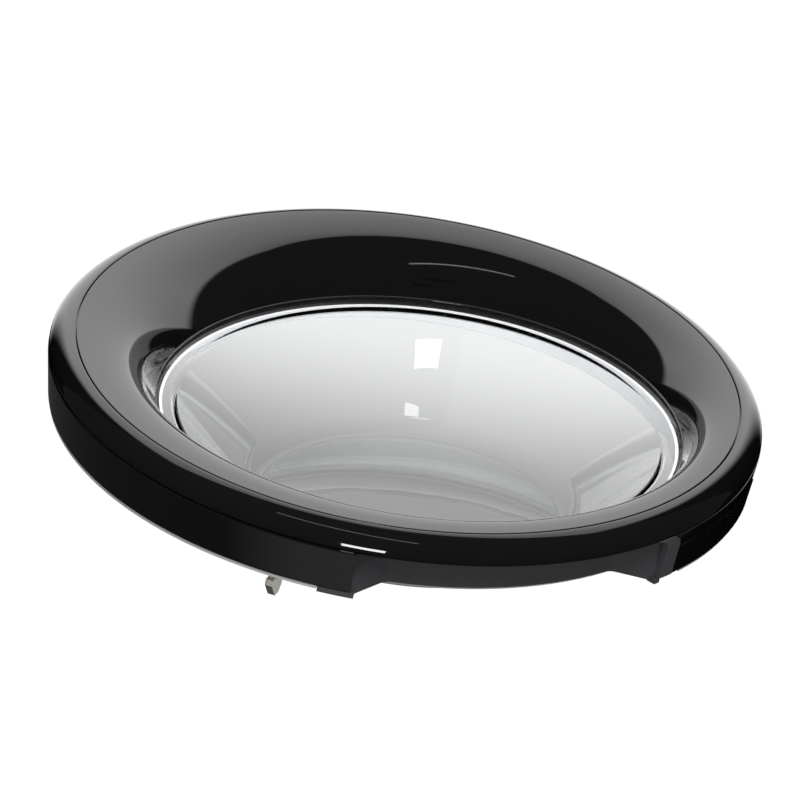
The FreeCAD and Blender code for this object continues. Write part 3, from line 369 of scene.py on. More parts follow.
@dataclass(frozen=True)
class MouldedRubber(Finish):
    """EPDM rubber, moulded and left matt."""

    # Carbon-filled rubber is a soft black with no clear reflection. A dusty bloom comes out of it
    # in cloudy patches, paler than the rubber.
    title: str = "Moulded EPDM rubber"
    colour: str = "#151516"
    second_colour: str = "#2b2b2c"
    roughness: float = 0.72
    shade: Pattern = Pattern(9.0, 5.0)
    edge_round_mm: float = 0.5


@dataclass(frozen=True)
class BareMetal(Finish):
    """A metal surface with the marks of how it was made."""

    # Metal takes its colour into the reflection. The size of the marks tells a casting, with its
    # coarse chill marks, from plated sheet, whose zinc grows in small crystals.
    sheen_change: float = 0.07
    edge_round_mm: float = 0.3
    metallic: float = 1.0


# Grains finer than about half a millimetre fall between the render's pixels, so they are drawn at
# 0.6 to 0.9 mm.
FINISHES: dict[Slot, Finish] = {
    Slot.GLOSS_BLACK: GlossMouldedAbs(),
    Slot.GLASS: PressedGlass(),
    Slot.GREY: GrainedPlastic(
        title="Spark-grained grey polypropylene",
        colour="#9a9a9d",
        second_colour="#a6a6a9",
        roughness=0.46,
        relief=Pattern(0.8, 2.0),
        relief_mm=0.02,
    ),
    Slot.DARK_GREY: GrainedPlastic(
        title="Satin moulded dark grey ABS",
        colour="#343437",
        second_colour="#3d3d40",
        roughness=0.4,
        relief=Pattern(0.6, 2.0),
        relief_mm=0.012,
    ),
    Slot.RUBBER: MouldedRubber(),
    Slot.ZINC: BareMetal(
        title="Die-cast zinc",
        colour="#bdb8b1",
        second_colour="#a49f99",
        roughness=0.4,
        shade=Pattern(4.8, 4.0),
        sheen=Pattern(1.6, kind=Kind.VORONOI, output=CRYSTAL_SHADE),
        relief=Pattern(4.8, 4.0),
        relief_mm=0.05,
    ),
    Slot.STEEL: BareMetal(
        title="Zinc-plated steel",
        colour="#cfd0cf",
        second_colour="#b4b6b8",
        roughness=0.3,
        shade=Pattern(2.7, 4.0),
        sheen=Pattern(0.9, kind=Kind.VORONOI, output=CRYSTAL_SHADE),
        relief=Pattern(2.7, 4.0),
        relief_mm=0.01,
    ),
    Slot.BUSH: GrainedPlastic(
        title="Turned white acetal",
        colour="#d9d7d0",
        second_colour="#e4e2dc",
        roughness=0.35,
        relief=Pattern(0.7, 2.0),
        relief_mm=0.01,
    ),
    Slot.BLACK: GrainedPlastic(
        title="Glass-filled black polyamide",
        colour="#1a1a1c",
        second_colour="#242426",
        roughness=0.5,
        relief=Pattern(0.9, 2.0),
        relief_mm=0.03,
    ),
}


# Meshes


def arc_points(centre: Point, radius: float, first: float, last: float, steps: int) -> list[Point]:
    """Points along an arc, with both its ends.

    Args:
        centre: The arc's centre.
        radius: The arc's radius.
        first: The angle where it starts, in degrees.
        last: The angle where it ends, in degrees.
        steps: How many pieces it is divided into.

    Returns:
        One point more than there are steps.
    """
    angles = [math.radians(first + (last - first) * n / steps) for n in range(steps + 1)]
    return [(centre[0] + radius * math.cos(a), centre[1] + radius * math.sin(a)) for a in angles]


def arc_between(start: Point, end: Point, radius: float, turn: int, steps: int) -> list[Point]:
    """Points along the short arc of this radius between two points.

    Args:
        start: Where the arc starts.
        end: Where the arc ends.
        radius: The arc's radius.
        turn: +1 for an arc that turns left on its way and -1 for one that turns right.
        steps: How many pieces it is divided into.

    Returns:
        One point more than there are steps.
    """
    first, last = Vector(start), Vector(end)
    chord = last - first
    left = Vector((-chord.y, chord.x)).normalized()
    centre = (first + last) / 2 + left * turn * math.sqrt(radius**2 - (chord.length / 2) ** 2)
    low = math.degrees(math.atan2(*reversed(first - centre)))
    high = math.degrees(math.atan2(*reversed(last - centre)))
    sweep = (high - low) % FULL_TURN if turn > 0 else -((low - high) % FULL_TURN)
    return arc_points(tuple(centre), radius, low, low + sweep, steps)


def rounded(corners: Sequence[Place], steps: int) -> list[Point]:
    """An open outline whose inner corners are rounded.

    Args:
        corners: Across, up and the radius of the rounding for each corner.
        steps: How many pieces each rounding is divided into.

    Returns:
        The points of the outline, from the first corner to the last.
    """
    points: list[Point] = [corners[0][:2]]
    for before, corner, after in zip(corners, corners[1:], corners[2:]):
        here = Vector(corner[:2])
        back = (Vector(before[:2]) - here).normalized()
        ahead = (Vector(after[:2]) - here).normalized()
        reach = corner[2] / math.tan(back.angle(ahead) / 2)
        turn = 1 if back.x * ahead.y - back.y * ahead.x < 0 else -1
        start, end = here + back * reach, here + ahead * reach
        points += arc_between(tuple(start), tuple(end), corner[2], turn, steps)
    return points + [corners[-1][:2]]


@dataclass
class Draft:
    """The corners and faces of a mesh in the making, in bench millimetres."""

    points: list[Vector]
    faces: list[Sequence[int]]

    @classmethod
    def empty(cls) -> "Draft":
        """A draft with nothing in it yet."""
        return cls([], [])

    def add(self, points: Iterable[Sequence[float]]) -> list[int]:
        """Adds a row of corners.

        Args:
            points: The places of the corners.

        Returns:
            The numbers of the corners.
        """
        first = len(self.points)
        self.points += [Vector(point) for point in points]
        return list(range(first, len(self.points)))

    def loft(self, rows: list[list[int]], round_again: bool = False, closed: bool = True) -> None:
        """Fills the strips between rows of as many corners, one after another.

        Args:
            rows: The rows of corners in order.
            round_again: Whether the last row meets the first.
            closed: Whether each row runs round to its start.
        """
        count = len(rows[0])
        for row, other in zip(rows, rows[1:] + rows[:1] if round_again else rows[1:]):
            for n in range(count if closed else count - 1):
                m = (n + 1) % count
                self.faces.append((row[n], row[m], other[m], other[n]))

    def cap(self, row: Sequence[int]) -> None:
        """Closes a row of corners with one face."""
        self.faces.append(tuple(row))

    def mesh(self, name: str, sharp_angle: float = SHARP_ANGLE) -> bpy.types.Mesh:
        """Makes the mesh, smooth but for its sharp edges.

        Args:
            name: The mesh's name.
            sharp_angle: Edges that turn by more than this stay sharp, in degrees.

        Returns:
            The mesh, in metres on the upright frame.
        """
        made = bpy.data.meshes.new(name)
        upright = [Vector((p.x, -p.z, p.y)) * MM for p in self.points]
        made.from_pydata(upright, [], self.faces)
        shape = bmesh.new()
        shape.from_mesh(made)
        bmesh.ops.remove_doubles(shape, verts=shape.verts, dist=MERGE_DISTANCE)
        bmesh.ops.recalc_face_normals(shape, faces=shape.faces)
        shape.to_mesh(made)
        shape.free()
        made.shade_smooth()
        made.set_sharp_from_angle(angle=math.radians(sharp_angle))
        return made


def add_piece(
    draft: Draft, name: str, slot: Slot, nodes: Sequence[str], sharp_angle: float = SHARP_ANGLE
) -> bpy.types.Object:
    """Makes a finished piece of the door.

    Args:
        draft: The piece's shape.
        name: The piece's name.
        slot: The material slot that gives its finish.
        nodes: The CAD nodes that it stands for, if any.
        sharp_angle: Edges that turn by more than this stay sharp, in degrees.

    Returns:
        The piece, on its body and dressed.
    """
    piece = bpy.data.objects.new(name, draft.mesh(name, sharp_angle))
    bpy.context.collection.objects.link(piece)
    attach(piece, Body.DOOR.value)
    if nodes:
        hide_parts(*nodes)
    FINISHES[slot].dress(piece)
    return piece


@dataclass(frozen=True)
class GlassAxis:
    """The axis of the glass, which is raised and tilted from the axis of the ring."""

    rise: float = 12.7
    lip_height: float = 18.0
    tilt: float = 1.9

    def place(self, radius: float, azimuth: float, along: float) -> Vector:
        """A point round this axis.

        Args:
            radius: How far it is from the axis.
            azimuth: Its direction from the axis.
            along: Its height above the plane of the lip.

        Returns:
            The point on the bench.
        """
        angle, tilt = math.radians(azimuth), math.radians(self.tilt)
        across, up = radius * math.cos(angle), radius * math.sin(angle)
        level = self.rise + up * math.cos(tilt) - along * math.sin(tilt)
        height = self.lip_height + up * math.sin(tilt) + along * math.cos(tilt)
        return Vector((across, level, height))


def on_ring(radius: float, azimuth: float, height: float) -> Vector:
    """A point by its radius, azimuth and height on the axis of the ring, on the bench."""
    angle = math.radians(azimuth)
    return Vector((radius * math.cos(angle), radius * math.sin(angle), height))


@dataclass(frozen=True)
class SideAxis:
    """An axis that stands upright on the bench, away from the axis of the ring."""

    foot: Vector

    def place(self, radius: float, azimuth: float, height: float) -> Vector:
        """A point by its radius, azimuth and height on this axis, on the bench."""
        return on_ring(radius, azimuth, height) + self.foot


def turn_outline(
    draft: Draft,
    outline: Sequence[Point],
    place: Callable[[float, float, float], Vector],
    columns: int,
) -> None:
    """Turns an open outline all the way round an axis.

    Args:
        draft: Where the mesh goes.
        outline: Radius and height of each point.
        place: Gives the bench point for a radius, an azimuth and a height.
        columns: How many steps there are in the turn.
    """
    rows = []
    for n in range(columns):
        azimuth = FULL_TURN * n / columns
        rows.append(draft.add([place(radius, azimuth, height) for radius, height in outline]))
    draft.loft(rows, round_again=True, closed=False)


@dataclass(frozen=True)
class FrameColumn:
    """The numbers of the corners in a column of the front frame, in the order of its outline."""

    top: list[int]
    down: list[int]
    foot: list[int]
    back: list[int]

    def whole(self) -> list[int]:
        """The column's corners all the way round."""
        return self.top[::-1] + self.back[::-1] + self.foot[::-1] + self.down[::-1]

    def above_window(self) -> list[int]:
        """The corners that lie above the corner of the grip window."""
        return self.top[::-1] + self.back[::-1] + self.down[::-1]


@dataclass(frozen=True)
class FrontFrame:
    """The moulded front frame: bulge, tapered skirt, grip window, hinge notch and lower band."""

    rim_radius: float = 235.0
    seam_radius: float = 219.2
    crest: float = 50.0
    shoulder_reach: float = 12.56
    shoulder_drop: float = 7.11
    shoulder_round: float = 24.0
    bulge_depth: float = 17.2
    bulge_round: float = 12.46
    skirt_taper: float = 4.0
    skirt_depth: float = 46.5
    skirt_levels: tuple[float, ...] = (20.0, 15.0, 10.0, 6.0)
    wall: float = 2.8
    rim_seat: float = 3.6
    ledge_reach: float = 6.0
    ledge_thickness: float = 2.6
    seam_edge: float = 0.45
    foot_round: float = 0.6
    grip_start: float = 15.0
    grip_end: float = 70.0
    grip_roof: float = 35.0
    grip_lead_corner: float = 20.0
    grip_corner: float = 9.0
    notch_top: float = 36.0
    notch_half_turn: float = 11.44
    band_end: float = 102.0
    band_end_turn: float = 0.12766
    band_top: float = 25.0
    band_step: float = 0.8
    band_edge: float = 0.5
    column_turn: float = 0.5
    bulge_steps: int = 26
    crown_steps: int = 10
    seam_steps: int = 4
    hollow_steps: int = 16
    leg_steps: int = 8
    foot_steps: int = 3
    corner_steps: int = 12
    search_steps: int = 200
    sharp_angle: float = 38.0

    @property
    def widest(self) -> float:
        """The height where the frame is widest."""
        return self.crest - self.bulge_depth

    @property
    def foot(self) -> float:
        """The height of the skirt's foot."""
        return self.crest - self.skirt_depth

    @property
    def notch_ends(self) -> Point:
        """The azimuths where the hinge notch starts and ends."""
        return HALF_TURN - self.notch_half_turn, HALF_TURN + self.notch_half_turn

    @property
    def shoulder(self) -> Point:
        """Radius and height of the line where the bulge meets the crown."""
        return self.seam_radius + self.shoulder_reach, self.crest - self.shoulder_drop

    def bulge(self, steps: int) -> list[Point]:
        """The bulge's outline from its widest line to the shoulder."""
        widest = (self.rim_radius, self.widest)
        return arc_between(widest, self.shoulder, self.bulge_round, 1, steps)

    def upper_outline(self) -> list[Point]:
        """The outline above the notch: up the outside, over the seam and down the inside.

        Returns:
            Radius and height of each point.
        """
        crown_start = (self.seam_radius + self.seam_edge, self.crest)
        crown = arc_between(self.shoulder, crown_start, self.shoulder_round, 1, self.crown_steps)
        edge_centre = (crown_start[0], self.crest - self.seam_edge)
        edge = arc_points(edge_centre, self.seam_edge, QUARTER_TURN, HALF_TURN, self.seam_steps)
        seat = self.crest - self.rim_seat
        ledge = seat - self.ledge_thickness
        ledge_radius = self.seam_radius - self.ledge_reach
        hollow = arc_between(
            (self.shoulder[0] - 2 * self.wall, ledge),
            (self.rim_radius - self.wall, self.widest),
            self.bulge_round,
            -1,
            self.hollow_steps,
        )
        outer = [(self.outside(self.notch_top), self.notch_top)]
        outer += [p for p in self.bulge(self.bulge_steps) if p[1] > self.notch_top]
        inner = [p for p in hollow if p[1] > self.notch_top]
        inner.append((self.inside(self.notch_top), self.notch_top))
        corners = [(self.seam_radius, seat), (ledge_radius, seat), (ledge_radius, ledge)]
        return outer + crown[1:] + edge[1:] + corners + inner

    def outside(self, height: float) -> float:
        """The outer radius of the skirt or bulge.

        Args:
            height: The height where it is wanted.

        Returns:
            The radius.
        """
        if height <= self.widest:
            share = (height - self.foot) / (self.widest - self.foot)
            return self.rim_radius - self.skirt_taper * (1 - share)
        bulge = self.bulge(self.search_steps)
        return min((abs(up - height), radius) for radius, up in bulge)[1]

    def inside(self, height: float) -> float:
        """The inner radius of the skirt or bulge at a height."""
        return self.outside(height) - self.wall

    def middle_legs(self, low: float) -> tuple[list[Point], list[Point]]:
        """The two legs of the outline between the notch's top and a height.

        Args:
            low: The height where they end.

        Returns:
            The outside going down and the inside coming up.
        """
        fall, steps = low - self.notch_top, self.leg_steps
        heights = [self.notch_top + fall * n / steps for n in range(1, steps + 1)]
        outer = [(self.outside(height), height) for height in heights]
        inner = [(self.inside(height), height) for height in reversed(heights)]
        return outer, inner

    def lower_leg(self, join: float, proud: float) -> list[Point]:
        """The skirt below a height, round its foot and back up its inside.

        Args:
            join: The height where it starts and ends.
            proud: How far the lower band stands out.

        Returns:
            Radius and height of each point.
        """
        levels = (self.band_top, self.band_top - self.band_edge, *self.skirt_levels)
        heights = [height for height in levels if height < join]
        outer = []
        for height in heights:
            step = proud if height < self.band_top else 0.0
            outer.append((self.outside(height) + step, height))
        low, radius, steps = self.foot + self.foot_round, self.foot_round, self.foot_steps
        outer_centre = (self.outside(low) + proud - radius, low)
        inner_centre = (self.inside(low) + radius, low)
        foot = arc_points(outer_centre, radius, 0, -QUARTER_TURN, steps)
        foot += arc_points(inner_centre, radius, -QUARTER_TURN, -HALF_TURN, steps)
        inner = [(self.inside(height), height) for height in reversed(heights)]
        return outer + foot + inner

    def window_height(self, azimuth: float) -> float:
        """The height of the grip window's edge, with its two rounded upper corners.

        Args:
            azimuth: Where it is wanted.

        Returns:
            The height.
        """
        heights = []
        for corner, turn in (
            (self.grip_lead_corner, azimuth - self.grip_start),
            (self.grip_corner, self.grip_end - azimuth),
        ):
            along = min(math.radians(turn) * self.rim_radius, corner)
            rise = math.sqrt(corner**2 - (corner - along) ** 2)
            heights.append(self.grip_roof - corner + rise)
        return min(heights)

    def turn_steps(self, first: float, last: float, extra: Sequence[float] = ()) -> list[float]:
        """The azimuths of a stretch of columns.

        Args:
            first: Where the stretch starts.
            last: Where it ends.
            extra: Azimuths that it has besides its even steps.

        Returns:
            The azimuths in order, with both ends.
        """
        count = round((last - first) / self.column_turn)
        turns = {first + (last - first) * n / count for n in range(count + 1)}
        return sorted(turns | set(extra))

    def column(self, draft: Draft, azimuth: float, join: float) -> FrameColumn:
        """Adds a whole column of corners.

        Args:
            draft: Where the corners go.
            azimuth: Where the column stands.
            join: The height where the legs give way to the foot.

        Returns:
            The column.
        """
        proud = self.band_step if self.grip_end <= azimuth <= self.band_end else 0.0
        outer, inner = self.middle_legs(join)
        parts = (self.upper_outline(), outer, self.lower_leg(join, proud), inner)
        return FrameColumn(*[draft.add([on_ring(r, azimuth, z) for r, z in p]) for p in parts])

    def whole_stretch(
        self, draft: Draft, turns: Sequence[float], join: float
    ) -> tuple[FrameColumn, FrameColumn]:
        """Builds a stretch of whole frame.

        Args:
            draft: Where the mesh goes.
            turns: The azimuths of its columns.
            join: The height where the legs give way to the foot.

        Returns:
            Its first and last columns.
        """
        columns = [self.column(draft, azimuth, join) for azimuth in turns]
        draft.loft([column.whole() for column in columns])
        return columns[0], columns[-1]

    def over_notch(self, draft: Draft, start: FrameColumn, end: FrameColumn) -> None:
        """Joins two whole columns over the hinge notch, and closes the cut faces below.

        Args:
            draft: Where the mesh goes.
            start: The column where the notch starts.
            end: The column where it ends.
        """
        upper = self.upper_outline()
        rows = [start.top]
        for azimuth in self.turn_steps(*self.notch_ends)[1:-1]:
            rows.append(draft.add([on_ring(r, azimuth, z) for r, z in upper]))
        draft.loft(rows + [end.top])
        for side in (start, end):
            draft.cap([side.top[0]] + side.down + side.foot + side.back + [side.top[-1]])

    def over_window(self, draft: Draft, lead: FrameColumn, end: FrameColumn) -> None:
        """Joins two whole columns over the grip window, and closes the cut faces below.

        Args:
            draft: Where the mesh goes.
            lead: The column where the window starts.
            end: The column where it ends.
        """
        quarter = math.pi / 2 / self.corner_steps
        eased = [1 - math.cos(quarter * n) for n in range(1, self.corner_steps + 1)]
        lead_turn = math.degrees(self.grip_lead_corner / self.rim_radius)
        end_turn = math.degrees(self.grip_corner / self.rim_radius)
        fine = [self.grip_start + lead_turn * share for share in eased]
        fine += [self.grip_end - end_turn * share for share in eased]
        upper = self.upper_outline()
        rows = [lead.above_window()]
        for azimuth in self.turn_steps(self.grip_start, self.grip_end, fine)[1:-1]:
            legs = (upper, *self.middle_legs(self.window_height(azimuth)))
            top, down, back = [draft.add([on_ring(r, azimuth, z) for r, z in leg]) for leg in legs]
            rows.append(FrameColumn(top, down, [], back).above_window())
        draft.loft(rows + [end.above_window()])
        for side in (lead, end):
            draft.cap([side.down[-1]] + side.foot + [side.back[0]])

    def build(self) -> bpy.types.Object:
        """Makes the frame from three kinds of columns: whole, over the window, over the notch.

        Returns:
            The frame.
        """
        draft = Draft.empty()
        notch_first, notch_last = self.notch_ends
        band_ends = (self.band_end, self.band_end + self.band_end_turn)
        upper_turns = self.turn_steps(self.grip_end, notch_first, band_ends)
        lower_turns = self.turn_steps(notch_last, self.grip_start + FULL_TURN)
        end_join = self.grip_roof - self.grip_corner
        lead_join = self.grip_roof - self.grip_lead_corner
        grip_end, notch_start = self.whole_stretch(draft, upper_turns, end_join)
        notch_end, grip_lead = self.whole_stretch(draft, lower_turns, lead_join)
        self.over_notch(draft, notch_start, notch_end)
        self.over_window(draft, grip_lead, grip_end)
        return add_piece(draft, "front_frame", Slot.GLOSS_BLACK, ["outer_frame"], self.sharp_angle)


@dataclass(frozen=True)
class GripCheek:
    """The finger recess's cheek, which laps over the skirt at the far end of the grip window."""

    frame: FrontFrame
    reach: float = 12.5
    proud: float = 1.1
    sunk: float = 0.3
    cover: float = 0.3
    corner: float = 9.0
    rows: int = 14
    corner_steps: int = 12
    reach_steps: int = 24
    sharp_angle: float = 38.0

    def turn(self, length: float) -> float:
        """The turn round the rim that makes this length."""
        return math.degrees(length / self.frame.rim_radius)

    def top(self, azimuth: float) -> float:
        """The height of the cheek's upper edge, with its rounded corner.

        Args:
            azimuth: Where it is wanted.

        Returns:
            The height.
        """
        end = self.frame.grip_end + self.turn(self.reach)
        along = min(math.radians(end - azimuth) * self.frame.rim_radius, self.corner)
        rise = math.sqrt(self.corner**2 - (self.corner - along) ** 2)
        return self.frame.grip_roof - self.corner + rise

    def column(self, azimuth: float, bottom: float, wraps: bool) -> list[Vector]:
        """A column of the cheek: down its outside and up its inside.

        Args:
            azimuth: Where the column stands.
            bottom: The height of its lower end.
            wraps: Whether it covers the whole thickness of the skirt's wall.

        Returns:
            The points of the column.
        """
        frame, top = self.frame, self.top(azimuth)
        skin = frame.inside if wraps else frame.outside
        heights = [top + (bottom - top) * n / self.rows for n in range(self.rows + 1)]
        outer = [on_ring(frame.outside(z) + self.proud, azimuth, z) for z in heights]
        return outer + [on_ring(skin(z) - self.sunk, azimuth, z) for z in reversed(heights)]

    def build(self) -> bpy.types.Object:
        """Makes the cheek: it wraps the window's end and lies on the skirt beside it.

        Returns:
            The cheek.
        """
        frame, columns = self.frame, []
        edge = frame.grip_end - self.turn(self.cover)
        for n in range(self.corner_steps + 1):
            eased = math.cos(math.pi / 2 * n / self.corner_steps)
            azimuth = edge - self.turn(frame.grip_corner) * eased
            bottom = max(frame.window_height(azimuth) - self.cover, frame.foot)
            columns.append(self.column(azimuth, bottom, wraps=True))
        for azimuth in (edge, frame.grip_end):
            columns.append(self.column(azimuth, frame.foot, wraps=True))
        for n in range(self.reach_steps + 1):
            eased = math.sin(math.pi / 2 * n / self.reach_steps)
            azimuth = frame.grip_end + self.turn(self.reach) * eased
            columns.append(self.column(azimuth, frame.foot, wraps=False))
        draft = Draft.empty()
        rows = [draft.add(column) for column in columns]
        draft.loft(rows)
        draft.cap(rows[0])
        draft.cap(rows[-1])
        return add_piece(draft, "grip_cheek", Slot.DARK_GREY, [], self.sharp_angle)


@dataclass(frozen=True)
class DecorRing:
    """The dished decor ring inside the seam, with its lip on the glass and its screw posts."""

    axis: GlassAxis
    rim_radius: float = 218.4
    lip_radius: float = 173.3
    crest: float = 50.0
    lip_depth: float = 32.0
    dish_power: float = 2.3
    grip_side_power: float = 4.3
    grip_side: float = 18.7
    wall: float = 2.8
    rim_seat: float = 3.6
    rim_edge: float = 0.5
    rim_land: float = 8.0
    lip_step: float = 0.7
    lip_land: float = 1.2
    collar_width: float = 5.4
    collar_rise: float = 0.56
    under_ends: Point = (0.85, 0.15)
    post_circle: float = 206.0
    post_radius: float = 4.5
    pilot_radius: float = 1.8
    pilot_top: float = 17.1
    post_foot: float = 3.5
    post_angles: tuple[float, ...] = (88, 112, 136, 160, 200, 227, 254, 281, 308, 335)
    columns: int = 600
    post_columns: int = 32
    face_steps: int = 44
    nose_steps: int = 5
    edge_steps: int = 4
    under_steps: int = 14
    search_steps: int = 24
    sharp_angle: float = 40.0

    def share_at(self, radius: float, azimuth: float) -> float:
        """The share of the way to the lip where the face has a radius from the ring's axis.

        Args:
            radius: The radius.
            azimuth: Where it is wanted.

        Returns:
            The share, from 0 at the rim to 1 at the lip.
        """
        low, high = 0.0, 1.0
        for _ in range(self.search_steps):
            middle = (low + high) / 2
            if self.face_point(middle, azimuth).xy.length > radius:
                low = middle
            else:
                high = middle
        return low

    def face_point(self, share: float, azimuth: float, sunk: float = 0.0) -> Vector:
        """A point of the dish's face, or one sunk below it.

        Args:
            share: The share of the way from the rim to the lip.
            azimuth: Its direction from the axis.
            sunk: How far it lies below the face.

        Returns:
            The point on the bench.
        """
        turn = math.radians(azimuth - self.grip_side)
        fuller = self.grip_side_power - self.dish_power
        power = self.dish_power + fuller * (1 + math.cos(turn)) / 2
        bend = share**power
        span = self.rim_radius - self.lip_radius
        slope = self.lip_depth * power * share ** (power - 1) / span
        steep = math.hypot(1, slope)
        radius = self.rim_radius - span * share + sunk * slope / steep
        tilt, angle = math.radians(self.axis.tilt) * bend, math.radians(azimuth)
        across, up = radius * math.cos(angle), radius * math.sin(angle)
        height = self.crest - self.lip_depth * bend - sunk / steep
        middle = self.axis.rise * share
        return Vector((across, middle + up * math.cos(tilt), height + up * math.sin(tilt)))

    def column(self, azimuth: float) -> list[Vector]:
        """The outline of the ring at one azimuth: face, lip, collar, underside and rim.

        Args:
            azimuth: Where it is wanted.

        Returns:
            The points of the outline, on the bench.
        """
        start = self.rim_edge / (self.rim_radius - self.lip_radius)
        shares = [start + (1 - start) * n / self.face_steps for n in range(self.face_steps + 1)]
        face = [self.face_point(share, azimuth) for share in shares]
        bore = self.lip_radius - self.lip_step
        collar = bore + self.collar_width
        nose_centre = (self.lip_radius, -self.lip_step)
        lip = arc_points(nose_centre, self.lip_step, QUARTER_TURN, HALF_TURN, self.nose_steps)[1:]
        lip += [(bore, -self.lip_land), (collar, -self.lip_land), (collar, self.collar_rise)]
        first, last = self.under_ends
        step = (last - first) / self.under_steps
        shares = [first + step * n for n in range(self.under_steps + 1)]
        underside = [self.face_point(share, azimuth, self.wall) for share in shares]
        seat = self.crest - self.rim_seat
        edge_centre = (self.rim_radius - self.rim_edge, self.crest - self.rim_edge)
        edge = arc_points(edge_centre, self.rim_edge, 0, QUARTER_TURN, self.edge_steps)[:-1]
        rim = [(self.rim_radius - self.rim_land, seat), (self.rim_radius, seat)] + edge
        column = face + [self.axis.place(r, azimuth, z) for r, z in lip]
        return column + underside + [on_ring(r, azimuth, z) for r, z in rim]

    def add_post(self, draft: Draft, azimuth: float) -> None:
        """Adds a screw post with its pilot hole behind the dish.

        Args:
            draft: Where the mesh goes.
            azimuth: Where the post stands on its circle.
        """
        share = self.share_at(self.post_circle - self.post_radius, azimuth)
        top = self.face_point(share, azimuth, self.wall).z
        outline = [
            (0.0, self.pilot_top),
            (self.pilot_radius, self.pilot_top),
            (self.pilot_radius, self.post_foot),
            (self.post_radius, self.post_foot),
            (self.post_radius, top),
            (0.0, top),
        ]
        axis = SideAxis(on_ring(self.post_circle, azimuth, 0))
        turn_outline(draft, outline, axis.place, self.post_columns)

    def build(self) -> bpy.types.Object:
        """Makes the ring and the posts behind it.

        Returns:
            The ring.
        """
        draft = Draft.empty()
        turns = [FULL_TURN * n / self.columns for n in range(self.columns)]
        draft.loft([draft.add(self.column(azimuth)) for azimuth in turns], round_again=True)
        for azimuth in self.post_angles:
            self.add_post(draft, azimuth)
        return add_piece(draft, "decor_ring", Slot.GLOSS_BLACK, ["dish_ring"], self.sharp_angle)


@dataclass(frozen=True)
class GlassBowl:
    """The pressed glass bowl: flat flange, round throat, sloped wall and flat floor."""

    axis: GlassAxis
    flange_radius: float = 181.0
    throat_radius: float = 160.0
    flange_front: float = -2.2
    thickness: float = 4.5
    depth: float = 65.0
    floor_radius: float = 108.0
    floor_round: float = 22.0
    throat_round: float = 6.0
    edge_round: float = 1.5
    columns: int = 360
    corner_steps: int = 12
    sharp_angle: float = 60.0

    def build(self) -> bpy.types.Object:
        """Makes the bowl by turning its outline about the axis of the glass.

        Returns:
            The bowl.
        """
        slope = (self.throat_radius - self.floor_radius) / (self.depth + self.flange_front)
        outset = self.thickness * (math.hypot(1, slope) - slope)
        back = self.flange_front - self.thickness
        under = -self.depth - self.thickness
        corners = [
            (0.0, -self.depth, 0.0),
            (self.floor_radius, -self.depth, self.floor_round),
            (self.throat_radius, self.flange_front, self.throat_round),
            (self.flange_radius, self.flange_front, self.edge_round),
            (self.flange_radius, back, self.edge_round),
            (self.throat_radius + outset, back, self.throat_round / 2),
            (self.floor_radius + outset, under, self.floor_round + self.thickness),
            (0.0, under, 0.0),
        ]
        draft = Draft.empty()
        turn_outline(draft, rounded(corners, self.corner_steps), self.axis.place, self.columns)
        bowl = add_piece(draft, "bowl", Slot.GLASS, ["glass_bowl"], self.sharp_angle)
        # Clear glass lets nearly all of the lamps' light through, so it throws no shadow.
        bowl.visible_shadow = False
        return bowl


@dataclass(frozen=True)
class SunkScrews:
    """A set of countersunk screws with six-lobed drives, whose heads face the machine."""

    name: str
    node: str
    places: tuple[Point, ...]
    face: float
    length: float
    radius: float = 1.75
    head_radius: float = 3.6
    head_height: float = 1.9
    head_edge: float = 0.15
    drive_radius: float = 1.45
    drive_lobe: float = 0.2
    drive_lobes: int = 6
    drive_depth: float = 1.2
    drive_taper: float = 0.9
    drive_edge: float = 0.12
    drive_edge_depth: float = 0.1
    tip_share: float = 0.3
    columns: int = 48

    def outline(self, turn: float) -> list[Point]:
        """A screw's skin at one turn, from the drive's floor to the tip.

        Args:
            turn: The azimuth round the screw.

        Returns:
            Radius and height of each point.
        """
        lobe = math.cos(math.radians(turn * self.drive_lobes))
        drive = self.drive_radius + self.drive_lobe * lobe
        return [
            (0.0, self.drive_depth),
            (drive * self.drive_taper, self.drive_depth),
            (drive, self.drive_edge_depth),
            (drive + self.drive_edge, 0.0),
            (self.head_radius - self.head_edge, 0.0),
            (self.head_radius, self.head_edge),
            (self.radius, self.head_height),
            (self.radius, self.length - self.radius),
            (self.radius * self.tip_share, self.length),
            (0.0, self.length),
        ]

    def build(self) -> bpy.types.Object:
        """Makes every screw of the set in its place.

        Returns:
            The screws, as one piece.
        """
        draft = Draft.empty()
        for x, y in self.places:
            axis = SideAxis(Vector((x, y, 0)))
            rows = []
            for n in range(self.columns):
                turn = FULL_TURN * n / self.columns
                skin = [axis.place(r, turn, self.face + z) for r, z in self.outline(turn)]
                rows.append(draft.add(skin))
            draft.loft(rows, round_again=True, closed=False)
        return add_piece(draft, self.name, Slot.STEEL, [self.node])


